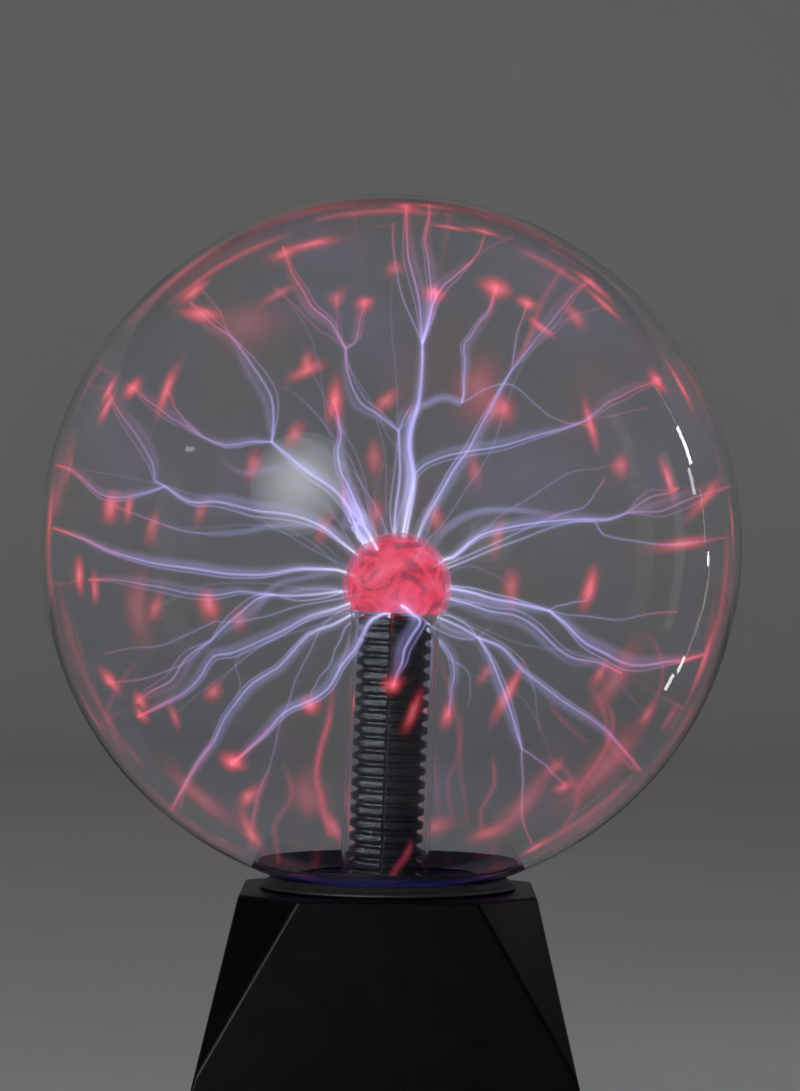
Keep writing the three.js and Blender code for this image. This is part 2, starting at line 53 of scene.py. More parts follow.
# ---- Dimensions, from the frame ----
GLOBE_LOW, GLOBE_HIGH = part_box("globe_shell")
BASE_LOW, BASE_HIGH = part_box("base_housing")
BASE_TOP = BASE_HIGH.z
BASE_BOTTOM = BASE_LOW.z
GLOBE_RADIUS = 100 * MM
GLOBE_CENTRE = Vector((0, 0, GLOBE_HIGH.z - GLOBE_RADIUS))
GLASS_WALL = 1.4 * MM
INNER_RADIUS = GLOBE_RADIUS - GLASS_WALL
COAT_EDGE = 37.4 * MM

# The base's outline, as the frame has it
TOP_HALF_WIDTH = 41.7 * MM
TOP_CORNER_SUM = 66.3 * MM
SIDE_FLARE = 0.224
CORNER_FLARE = 0.804
HOUSING_WALL = 2.5 * MM
EDGE_ROUNDING = 0.9 * MM
NECK_HOLE = 30 * MM
CUT_DEPTH = 6 * MM

# The stem's own frame: Z along the stem from the base's top face
STEM_FRAME = Matrix.Translation((-1.2 * MM, 0, BASE_TOP)) @ Matrix.Rotation(math.radians(2), 4, "Y")
STEM_RADIUS = 12.7 * MM
STEM_WALL = 1 * MM
STEM_BOTTOM = -14 * MM
BULB_RADIUS = 15.4 * MM
BULB_HEIGHT = 86.2 * MM
BULB_CENTRE = STEM_FRAME @ Vector((0, 0, BULB_HEIGHT))
WOOL_RADIUS = BULB_RADIUS - STEM_WALL - 0.5 * MM
WOOL_FLOOR = BULB_HEIGHT - 7.2 * MM
SLEEVE_RADIUS = 10.6 * MM
RIB_PITCH = 3.85 * MM
RIBS = 22

# The rear panel's own frame: X to the right as seen from behind, Y up the slope, Z outwards
SLOPE = math.atan(SIDE_FLARE)
PANEL_Z = 42 * MM
PANEL_FRAME = Matrix.Translation((0, TOP_HALF_WIDTH + SIDE_FLARE * (BASE_TOP - PANEL_Z), PANEL_Z)) @ Matrix((
    (-1, 0, 0, 0),
    (0, -math.sin(SLOPE), math.cos(SLOPE), 0),
    (0, math.cos(SLOPE), math.sin(SLOPE), 0),
    (0, 0, 0, 1),
))
SWITCH_X = 18 * MM
SWITCH_HALF_WIDTH, SWITCH_HALF_HEIGHT = 6.6 * MM, 9.8 * MM
JACK_X = -18 * MM
JACK_HOLE = 5.5 * MM
MICROPHONE_HOLE = 1.2 * MM


# ---- Mesh helpers ----

def make_object(name, data):
    made = bpy.data.objects.new(name, data)
    bpy.context.scene.collection.objects.link(made)
    return made


def from_bmesh(name, bm, sharp=math.radians(35)):
    """An object from a bmesh, smooth except at its sharp edges."""
    bmesh.ops.recalc_face_normals(bm, faces=bm.faces)
    for face in bm.faces:
        face.smooth = True
    for edge in bm.edges:
        edge.smooth = len(edge.link_faces) == 2 and edge.calc_face_angle(0) < sharp
    mesh = bpy.data.meshes.new(name)
    bm.to_mesh(mesh)
    bm.free()
    return make_object(name, mesh)


def turned(name, profile, segments=128, place=Matrix.Identity(4), ring=False):
    """A solid of revolution about its own Z, closed by points on the axis or, as a ring, on itself."""
    bm = bmesh.new()
    rows = []
    for radius, height in profile:
        if radius < 1e-7:
            rows.append([bm.verts.new(place @ Vector((0, 0, height)))])
        else:
            rows.append([
                bm.verts.new(place @ Vector((
                    radius * math.cos(2 * math.pi * i / segments),
                    radius * math.sin(2 * math.pi * i / segments),
                    height,
                )))
                for i in range(segments)
            ])
    pairs = list(zip(rows, rows[1:]))
    if ring:
        pairs.append((rows[-1], rows[0]))
    for low, high in pairs:
        for i in range(segments):
            j = (i + 1) % segments
            corners = [low[i % len(low)], low[j % len(low)], high[j % len(high)], high[i % len(high)]]
            bm.faces.new(list(dict.fromkeys(corners)))
    return from_bmesh(name, bm)


def arc(radius, middle, start, end, steps):
    """[radius, height] pairs on a circle about (0, middle), between two angles above the horizontal."""
    turns = [start + (end - start) * i / steps for i in range(steps + 1)]
    return [(max(0.0, radius * math.cos(t)), middle + radius * math.sin(t)) for t in turns]


def below(sphere_radius, plan_radius):
    """The angle of the point of a sphere's lower half that has this radius in plan."""
    return -math.acos(plan_radius / sphere_radius)


def rounded(profile, radius, steps=3):
    """The same closed profile with each corner cut by a short curve."""
    out = []
    count = len(profile)
    for i in range(count):
        here = Vector(profile[i])
        to_last = Vector(profile[i - 1]) - here
        to_next = Vector(profile[(i + 1) % count]) - here
        reach = min(radius, to_last.length * 0.4, to_next.length * 0.4)
        a = here + to_last.normalized() * reach
        b = here + to_next.normalized() * reach
        for k in range(steps + 1):
            t = k / steps
            point = a * (1 - t) ** 2 + here * 2 * t * (1 - t) + b * t ** 2
            out.append((point.x, point.y))
    return out


def box_mesh(name, low, high, place):
    bm = bmesh.new()
    bmesh.ops.create_cube(bm, size=1)
    low, high = Vector(low), Vector(high)
    for vert in bm.verts:
        vert.co = place @ Vector([low[k] + (vert.co[k] + 0.5) * (high[k] - low[k]) for k in range(3)])
    return from_bmesh(name, bm)


def plug(name, radius, low, high, segments=128, place=Matrix.Identity(4)):
    """A cylinder that cuts a round hole through a wall."""
    return turned(name, [(0, low), (radius, low), (radius, high), (0, high)], segments, place)


def carve(body, cutters):
    """Cuts each cutter out of the body and removes the cutters."""
    for cutter in cutters:
        boolean = body.modifiers.new("carve", "BOOLEAN")
        boolean.operation = "DIFFERENCE"
        boolean.object = cutter
        boolean.solver = "EXACT"
    bpy.context.view_layer.update()
    evaluated = body.evaluated_get(bpy.context.evaluated_depsgraph_get())
    mesh = bpy.data.meshes.new_from_object(evaluated)
    mesh.set_sharp_from_angle(angle=math.radians(30))
    body.modifiers.clear()
    body.data = mesh
    for cutter in cutters:
        bpy.data.objects.remove(cutter)
    flats = body.modifiers.new("flats", "WEIGHTED_NORMAL")
    flats.keep_sharp = True


def soften(piece, width):
    """Rounds a piece's edges when it is shown."""
    bevel = piece.modifiers.new("edges", "BEVEL")
    bevel.width = width
    bevel.segments = 3
    bevel.limit_method = "ANGLE"
    bevel.angle_limit = math.radians(40)
    bevel.harden_normals = False


def finish_piece(piece, material, slot, *replaces):
    """Gives a new piece its material and its body, and hides the frame node that it stands for. Its slot is
    not used.
    """
    piece.data.materials.clear()
    piece.data.materials.append(material)
    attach(piece, "root")
    if replaces:
        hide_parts(*replaces)


# ---- Materials ----

GLASS_TINT = (0.96, 0.98, 1.0, 1)
GLASS_IOR = 1.25  # low, so that the inner faces mirror little of the room


class Surface:
    """A material in the making: textures on the piece's own coordinates that feed its shader."""

    def __init__(self, name):
        self.material = bpy.data.materials.new(name)
        self.material.use_nodes = True
        self.nodes = self.material.node_tree.nodes
        self.join = self.material.node_tree.links.new
        self.shader = self.nodes["Principled BSDF"]

    def set(self, values):
        for socket, value in values.items():
            self.shader.inputs[socket].default_value = value

    def feed(self, socket, output):
        self.join(output, self.shader.inputs[socket])

    def texture(self, scale, stretch=(1, 1, 1), **sockets):
        """Noise with so many features per metre."""
        place = self.nodes.new("ShaderNodeTexCoord")
        mapping = self.nodes.new("ShaderNodeMapping")
        mapping.inputs["Scale"].default_value = stretch
        made = self.nodes.new("ShaderNodeTexNoise")
        made.inputs["Scale"].default_value = scale
        for socket, value in sockets.items():
            made.inputs[socket].default_value = value
        self.join(place.outputs["Object"], mapping.inputs["Vector"])
        self.join(mapping.outputs["Vector"], made.inputs["Vector"])
        return made.outputs["Fac"]

    def ramp(self, factor, *stops):
        """A colour ramp with (position, colour) stops."""
        made = self.nodes.new("ShaderNodeValToRGB")
        elements = made.color_ramp.elements
        while len(elements) < len(stops):
            elements.new(0.5)
        for element, (position, colour) in zip(elements, stops):
            element.position = position
            element.color = (*colour, 1)
        self.join(factor, made.inputs["Fac"])
        return made.outputs["Color"]

    def spread(self, factor, low, high):
        """Maps a factor in 0 to 1 to a range."""
        made = self.nodes.new("ShaderNodeMapRange")
        made.inputs["To Min"].default_value = low
        made.inputs["To Max"].default_value = high
        self.join(factor, made.inputs["Value"])
        return made.outputs["Result"]

    def bump(self, height, distance):
        made = self.nodes.new("ShaderNodeBump")
        made.inputs["Distance"].default_value = distance
        made.inputs["Strength"].default_value = 1
        self.join(height, made.inputs["Height"])
        self.feed("Normal", made.outputs["Normal"])

    def attribute(self, name, output):
        """What the mesh itself carries."""
        made = self.nodes.new("ShaderNodeAttribute")
        made.attribute_name = name
        return made.outputs[output]


def moulded(name, dark, light, roughness, grain, depth, metallic=0, coat=0, gloss=0.5, stretch=(1, 1, 1)):
    """A surface with cloudy colour, uneven gloss and a fine grain, so many per metre and so deep in mm."""
    surface = Surface(name)
    clouds = surface.texture(60, Detail=6.0, Roughness=0.65)
    surface.feed("Base Color", surface.ramp(clouds, (0.35, dark), (0.65, light)))
    surface.feed("Roughness", surface.spread(surface.texture(140, stretch, Detail=4.0), *roughness))
    surface.bump(surface.texture(grain, stretch, Detail=3.0), depth * MM)
    surface.set({"Metallic": metallic, "Specular IOR Level": gloss,
                 "Coat Weight": coat, "Coat Roughness": 0.12})
    return surface.material


def glass(name, wave):
    """Clear glass that lets lamps through, with the slow waves of blown glass."""
    surface = Surface(name)
    surface.set({"Base Color": GLASS_TINT, "Transmission Weight": 1, "Roughness": 0, "IOR": GLASS_IOR})
    surface.bump(surface.texture(28, Detail=1.0), wave)
    clear = surface.nodes.new("ShaderNodeBsdfTransparent")
    path = surface.nodes.new("ShaderNodeLightPath")
    mix = surface.nodes.new("ShaderNodeMixShader")
    surface.join(path.outputs["Is Shadow Ray"], mix.inputs["Fac"])
    surface.join(surface.shader.outputs["BSDF"], mix.inputs[1])
    surface.join(clear.outputs["BSDF"], mix.inputs[2])
    surface.join(mix.outputs["Shader"], surface.nodes["Material Output"].inputs["Surface"])
    return surface.material


def wool_painted_glow():
    """Steel wool with fibres and a painted glow: its emission, dark red in patches and pink-red elsewhere,
    stands in for the discharge light that falls on it.
    """
    surface = Surface("wool_painted_glow")
    surface.feed("Emission Color", surface.ramp(
        surface.texture(90, Detail=3.0, Roughness=0.55, Distortion=3.0),
        (0.34, (0.1, 0.0, 0.004)), (0.43, (0.4, 0.003, 0.01)),
        (0.52, (0.75, 0.012, 0.03)), (0.7, (0.9, 0.06, 0.1)),
    ))
    fibres = surface.texture(900, (1, 1, 6), Detail=4.0)
    surface.bump(fibres, 0.4 * MM)
    surface.feed("Base Color", surface.ramp(fibres, (0.4, (0.02, 0.004, 0.004)), (0.6, (0.16, 0.05, 0.05))))
    surface.set({"Emission Strength": 0.9, "Roughness": 0.5})
    return surface.material


def plasma(name, strength):
    """Glowing gas: colour and density come with the mesh, and drift a little along it."""
    surface = Surface(name)
    surface.set({"Base Color": (0, 0, 0, 1), "Roughness": 1, "Specular IOR Level": 0,
                 "Emission Strength": strength})
    shade = surface.nodes.new("ShaderNodeVectorMath")
    shade.operation = "SCALE"
    surface.join(surface.attribute("glow", "Color"), shade.inputs["Vector"])
    surface.join(surface.spread(surface.texture(70, Detail=2.0), 0.7, 1.15), shade.inputs["Scale"])
    surface.feed("Emission Color", shade.outputs["Vector"])
    surface.feed("Alpha", surface.attribute("cover", "Fac"))
    surface.material.cycles.emission_sampling = "NONE"
    return surface.material


black_plastic = moulded("black_plastic", (0.002, 0.002, 0.003), (0.004, 0.004, 0.005),
                        (0.24, 0.36), 2500, 0.02, gloss=0.07)
satin_plastic = moulded("satin_plastic", (0.008, 0.008, 0.009), (0.016, 0.016, 0.017),
                        (0.42, 0.6), 3200, 0.04)
black_rubber = moulded("black_rubber", (0.010, 0.010, 0.008), (0.020, 0.020, 0.016), (0.4, 0.6), 4000, 0.04)
black_nylon = moulded("black_nylon", (0.002, 0.002, 0.003), (0.005, 0.005, 0.006),
                      (0.14, 0.24), 1800, 0.02, gloss=0.3)
# Near-black paint; its faint blue tint is a painted reflection of the plasma's glow.
black_coating = moulded("black_coating", (0.003, 0.003, 0.006), (0.006, 0.006, 0.012),
                        (0.06, 0.16), 900, 0.02)
zinc_steel = moulded("zinc_steel", (0.42, 0.43, 0.44), (0.62, 0.63, 0.64),
                     (0.25, 0.45), 3000, 0.02, metallic=1)
aluminium = moulded("aluminium", (0.5, 0.51, 0.53), (0.68, 0.69, 0.7),
                    (0.3, 0.5), 2600, 0.03, metallic=1, stretch=(1, 1, 0.1))
circuit_green = moulded("circuit_green", (0.008, 0.07, 0.02), (0.02, 0.14, 0.05),
                        (0.3, 0.42), 700, 0.05, coat=0.4)
ferrite = moulded("ferrite", (0.012, 0.012, 0.013), (0.03, 0.03, 0.031), (0.55, 0.8), 3500, 0.06)
copper_wire = moulded("copper_wire", (0.42, 0.13, 0.04), (0.7, 0.26, 0.1),
                      (0.25, 0.4), 2200, 0.1, metallic=1, stretch=(0.05, 0.05, 1))
red_resin = moulded("red_resin", (0.12, 0.008, 0.006), (0.22, 0.02, 0.014),
                    (0.25, 0.4), 600, 0.05, coat=0.3)
red_insulation = moulded("red_insulation", (0.38, 0.012, 0.008), (0.5, 0.025, 0.015),
                         (0.35, 0.5), 1500, 0.02)
black_insulation = moulded("black_insulation", (0.008, 0.008, 0.008), (0.016, 0.016, 0.016),
                           (0.35, 0.5), 1500, 0.02)
silicone = moulded("silicone", (0.58, 0.56, 0.5), (0.7, 0.68, 0.63), (0.4, 0.6), 1500, 0.02)
globe_glass = glass("globe_glass", 0.12 * MM)
stem_glass = glass("stem_glass", 0.05 * MM)


# ---- Base ----

def outline(z, inset=0.0):
    """The corners of the base's outline at one height: eight where its corners are cut, else four."""
    half = TOP_HALF_WIDTH + SIDE_FLARE * (BASE_TOP - z) - inset
    corner_sum = TOP_CORNER_SUM + CORNER_FLARE * (BASE_TOP - z) - inset * math.sqrt(2)
    across = min(corner_sum - half, half)
    signs = ((1, 1), (-1, 1), (-1, -1), (1, -1))
    return [Vector((sx * x, sy * y, z)) for x, y in ((half, across), (across, half)) for sx, sy in signs]


def pyramid(name, bottom, top, inset=0.0, rounding=0.0):
    """The cut-cornered pyramid between two heights, with rounded edges."""
    missing = 2 * TOP_HALF_WIDTH - TOP_CORNER_SUM - inset * (2 - math.sqrt(2))
    drop = missing / (CORNER_FLARE - 2 * SIDE_FLARE)
    bm = bmesh.new()
    for z in (bottom, BASE_TOP - drop, top):
        for point in outline(z, inset):
            bm.verts.new(point)
    bmesh.ops.remove_doubles(bm, verts=bm.verts, dist=1e-6)
    hull = bmesh.ops.convex_hull(bm, input=bm.verts)
    inside = hull["geom_interior"] + hull["geom_unused"]
    loose = [item for item in inside if isinstance(item, bmesh.types.BMVert)]
    bmesh.ops.delete(bm, geom=list(set(loose)), context="VERTS")
    bmesh.ops.dissolve_limit(bm, angle_limit=math.radians(0.5), verts=bm.verts, edges=bm.edges)
    if rounding:
        bmesh.ops.bevel(bm, geom=bm.edges[:], offset=rounding, segments=4, profile=0.5, affect="EDGES")
    return from_bmesh(name, bm, math.radians(25))


def base_housing():
    body = pyramid("base_shell", BASE_BOTTOM, BASE_TOP, rounding=EDGE_ROUNDING)
    hollow = pyramid("hollow", BASE_BOTTOM - 5 * MM, BASE_TOP - HOUSING_WALL, HOUSING_WALL, EDGE_ROUNDING)
    neck = plug("neck", NECK_HOLE, 70 * MM, 90 * MM)
    switch_corner = Vector((SWITCH_HALF_WIDTH, SWITCH_HALF_HEIGHT, CUT_DEPTH))
    switch_place = PANEL_FRAME @ Matrix.Translation((SWITCH_X, 0, 0))
    switch = box_mesh("switch", -switch_corner, switch_corner, switch_place)
    jack_place = PANEL_FRAME @ Matrix.Translation((JACK_X, 0, 0))
    jack = plug("jack", JACK_HOLE, -CUT_DEPTH, CUT_DEPTH, 64, jack_place)
    microphone = plug("microphone", MICROPHONE_HOLE, -CUT_DEPTH, CUT_DEPTH, 32, PANEL_FRAME)
    carve(body, [hollow, neck, switch, jack, microphone])
    finish_piece(body, black_plastic, "black_plastic", "base_housing")


def globe_collar():
    """A soft ring with a rolled foot. Its inner face follows the globe."""
    under = GLOBE_RADIUS + 0.3 * MM
    seat = arc(under, GLOBE_CENTRE.z, below(under, 33 * MM), below(under, 29.5 * MM), 8)
    low = BASE_TOP + 0.3 * MM
    foot = [(29.5 * MM, low), (36.3 * MM, low), (36.7 * MM, low + 0.5 * MM), (36.3 * MM, low + 1.1 * MM)]
    flank = [(35.2 * MM, low + 1.6 * MM), (34.2 * MM, low + 2.6 * MM), (33.6 * MM, low + 3.1 * MM)]
    collar = turned("collar", rounded(foot + flank + seat, 0.5 * MM), 160, ring=True)
    finish_piece(collar, black_rubber, "black_rubber", "globe_collar")


def rubber_feet():
    for i in range(1, 5):
        low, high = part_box(f"rubber_foot_{i}")
        middle = (low + high) / 2
        radius = (high.x - low.x) / 2
        height = high.z
        profile = [(0, 0.25 * MM), (radius * 0.45, 0.25 * MM), (radius * 0.5, 0), (radius - 1.2 * MM, 0),
                   (radius - 0.4 * MM, 0.3 * MM), (radius, 1.1 * MM), (radius, height - 0.4 * MM),
                   (radius - 0.3 * MM, height), (0, height)]
        foot = turned(f"foot_{i}", profile, 64, Matrix.Translation((middle.x, middle.y, 0)))
        finish_piece(foot, black_rubber, "black_rubber", f"rubber_foot_{i}")


# ---- Globe and stem ----

def globe():
    neck = 27 * MM
    bore = neck - GLASS_WALL
    low = GLOBE_LOW.z
    centre = GLOBE_CENTRE.z
    profile = [
        *arc(INNER_RADIUS, centre, math.pi / 2, below(INNER_RADIUS, bore + 2 * MM), 72),
        (bore + 0.6 * MM, BASE_TOP + 1.6 * MM),
        (bore, BASE_TOP - 0.4 * MM),
        (bore, low + 0.3 * MM),
        (bore + 0.5 * MM, low),
        (28.6 * MM, low),
        (29 * MM, low + 0.5 * MM),
        (29 * MM, low + 1.6 * MM),
        (28.4 * MM, low + 2 * MM),
        (neck, low + 2.3 * MM),
        (neck, BASE_TOP - 1 * MM),
        (neck + 0.7 * MM, BASE_TOP + 1 * MM),
        *arc(GLOBE_RADIUS, centre, below(GLOBE_RADIUS, neck + 3 * MM), math.pi / 2, 72),
    ]
    finish_piece(turned("globe_glass", profile, 192), globe_glass, "clear_glass", "globe_shell")


def blackout_coat():
    """Paint on the inner face of the globe's underside."""
    outer = INNER_RADIUS - 0.3 * MM
    inner = outer - 0.5 * MM
    edge = below(outer, COAT_EDGE)
    profile = [*arc(outer, GLOBE_CENTRE.z, below(outer, 25.5 * MM), edge, 24),
               *arc(inner, GLOBE_CENTRE.z, edge, below(inner, 25.5 * MM), 24)]
    coat = turned("blackout_coat", profile, 192, ring=True)
    finish_piece(coat, black_coating, "black_coating", "blackout_band")


def stem():
    inner, bore = BULB_RADIUS - STEM_WALL, STEM_RADIUS - STEM_WALL
    rim, flare = 16.8 * MM, 22.8 * MM
    profile = [
        *arc(inner, BULB_HEIGHT, math.pi / 2, below(inner, bore + 0.5 * MM), 36),
        (bore, BULB_HEIGHT - 10 * MM),
        (bore, STEM_BOTTOM + 7 * MM),
        (bore + 0.6 * MM, STEM_BOTTOM + 5 * MM),
        (rim - 1 * MM, STEM_BOTTOM + 0.4 * MM),
        (rim, STEM_BOTTOM),
        (flare, STEM_BOTTOM),
        (flare, STEM_BOTTOM + STEM_WALL),
        (rim + 0.4 * MM, STEM_BOTTOM + STEM_WALL),
        (STEM_RADIUS + 0.8 * MM, STEM_BOTTOM + 5.6 * MM),
        (STEM_RADIUS, STEM_BOTTOM + 8 * MM),
        (STEM_RADIUS, BULB_HEIGHT - 10.2 * MM),
        *arc(BULB_RADIUS, BULB_HEIGHT, below(BULB_RADIUS, STEM_RADIUS + 0.4 * MM), math.pi / 2, 36),
    ]
    tube = turned("stem_glass", profile, 128, STEM_FRAME)
    finish_piece(tube, stem_glass, "clear_glass", "stem_tube")


def electrode():
    """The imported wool: a lump with a flat floor and a rough, fibrous skin."""
    bm = bmesh.new()
    bmesh.ops.create_icosphere(bm, subdivisions=6, radius=WOOL_RADIUS)
    floor = WOOL_FLOOR - BULB_HEIGHT
    for vert in bm.verts:
        rough = noise.fractal(vert.co * 260, 1.0, 2.0, 4) * 0.25 * MM
        vert.co += vert.co.normalized() * min(rough, 0.2 * MM)
        if vert.co.z < floor:
            vert.co *= floor / vert.co.z
        vert.co = STEM_FRAME @ (vert.co + Vector((0, 0, BULB_HEIGHT)))
    # The wool's glow is painted: its emission stands in for the discharge light on it.
    finish_piece(from_bmesh("wool", bm), wool_painted_glow(), "steel_wool", "electrode_wool")


def ribbed_sleeve():
    """Corrugated tube with rounded ribs, slit along its length."""
    root, bore = 8.9 * MM, 8 * MM
    top = WOOL_FLOOR - 1 * MM
    bottom = top - RIBS * RIB_PITCH
    rib = [(0.0, 0.0), (0.1, 0.03), (0.2, 0.45), (0.27, 0.9), (0.35, 1.0),
           (0.7, 1.0), (0.78, 0.9), (0.85, 0.45), (0.95, 0.03)]
    profile = [(bore, bottom)]
    for i in range(RIBS):
        for along, out in rib:
            profile.append((root + out * (SLEEVE_RADIUS - root), bottom + (i + along) * RIB_PITCH))
    profile += [(root, top), (bore, top)]
    sleeve = turned("ribbed_sleeve", profile, 96, STEM_FRAME, ring=True)
    slit_place = STEM_FRAME @ Matrix.Rotation(math.radians(-6), 4, "Z")
    slit = box_mesh("slit", (-0.4 * MM, -12 * MM, bottom - MM), (0.4 * MM, -7 * MM, top + MM), slit_place)
    carve(sleeve, [slit])
    finish_piece(sleeve, black_nylon, "black_nylon", "corrugated_sleeve")


# ---- Plasma ----
# A filament's route is seen from the front, in hundredths of the globe's radius from the globe's
# middle: x to the right, z up. Its depth grows evenly from the bulb to where its ends touch the glass.

FRONT, BACK = -1, 1
DENSITY = 0.17  # of the middle of a filament of strength 1, in each of its three sheets
TOUCH = 0.982  # where filaments end, in globe radii
ROUTE_STEP = 3 * MM
WANDER = 0.9  # of a route from its smooth curve, in mm
BULB_START, STREAK_START = 0.16, 0.7  # depth of a route's first point, as a share of its ends' depth
Filament = namedtuple("Filament", "strength route forks side looks")

# (distance from the middle of the filament in widths, density) across each look
LOOKS = {
    "thread": ((0, 1), (0.4, 0.72), (0.75, 0.22), (1.4, 0.06), (3.0, 0)),
    "band": ((0, 0.5), (1.3, 0.5), (1.9, 0.3), (3.0, 0)),
    "streak": ((0, 0.5), (1.0, 0.42), (1.8, 0.18), (3.0, 0)),
    "smear": ((0, 0.26), (1.0, 0.22), (1.8, 0.12), (2.8, 0)),
}

# Colour from the bulb to the glass: (share of the way, colour)
COLOURS = (
    (0, (0.78, 0.72, 1.0)), (0.1, (0.58, 0.56, 0.97)), (0.3, (0.46, 0.44, 0.88)), (0.7, (0.44, 0.38, 0.82)),
    (0.88, (0.6, 0.26, 0.56)), (0.97, (1.0, 0.12, 0.2)), (1, (1.0, 0.1, 0.16)),
)
STREAK_RED = (1.0, 0.1, 0.2)


def filament(strength, route, *forks, side=0, looks="thread"):
    points = [tuple(float(value) / 100 for value in pair.split()) for pair in route.split(",")]
    return Filament(strength, points, forks, side, looks)


def front(strength, route, looks="thread"):
    """A filament that ends on the globe's near half."""
    return filament(strength, route, side=FRONT, looks=looks)


def back(strength, route, looks="thread"):
    """A filament that ends on the globe's far half."""
    return filament(strength, route, side=BACK, looks=looks)


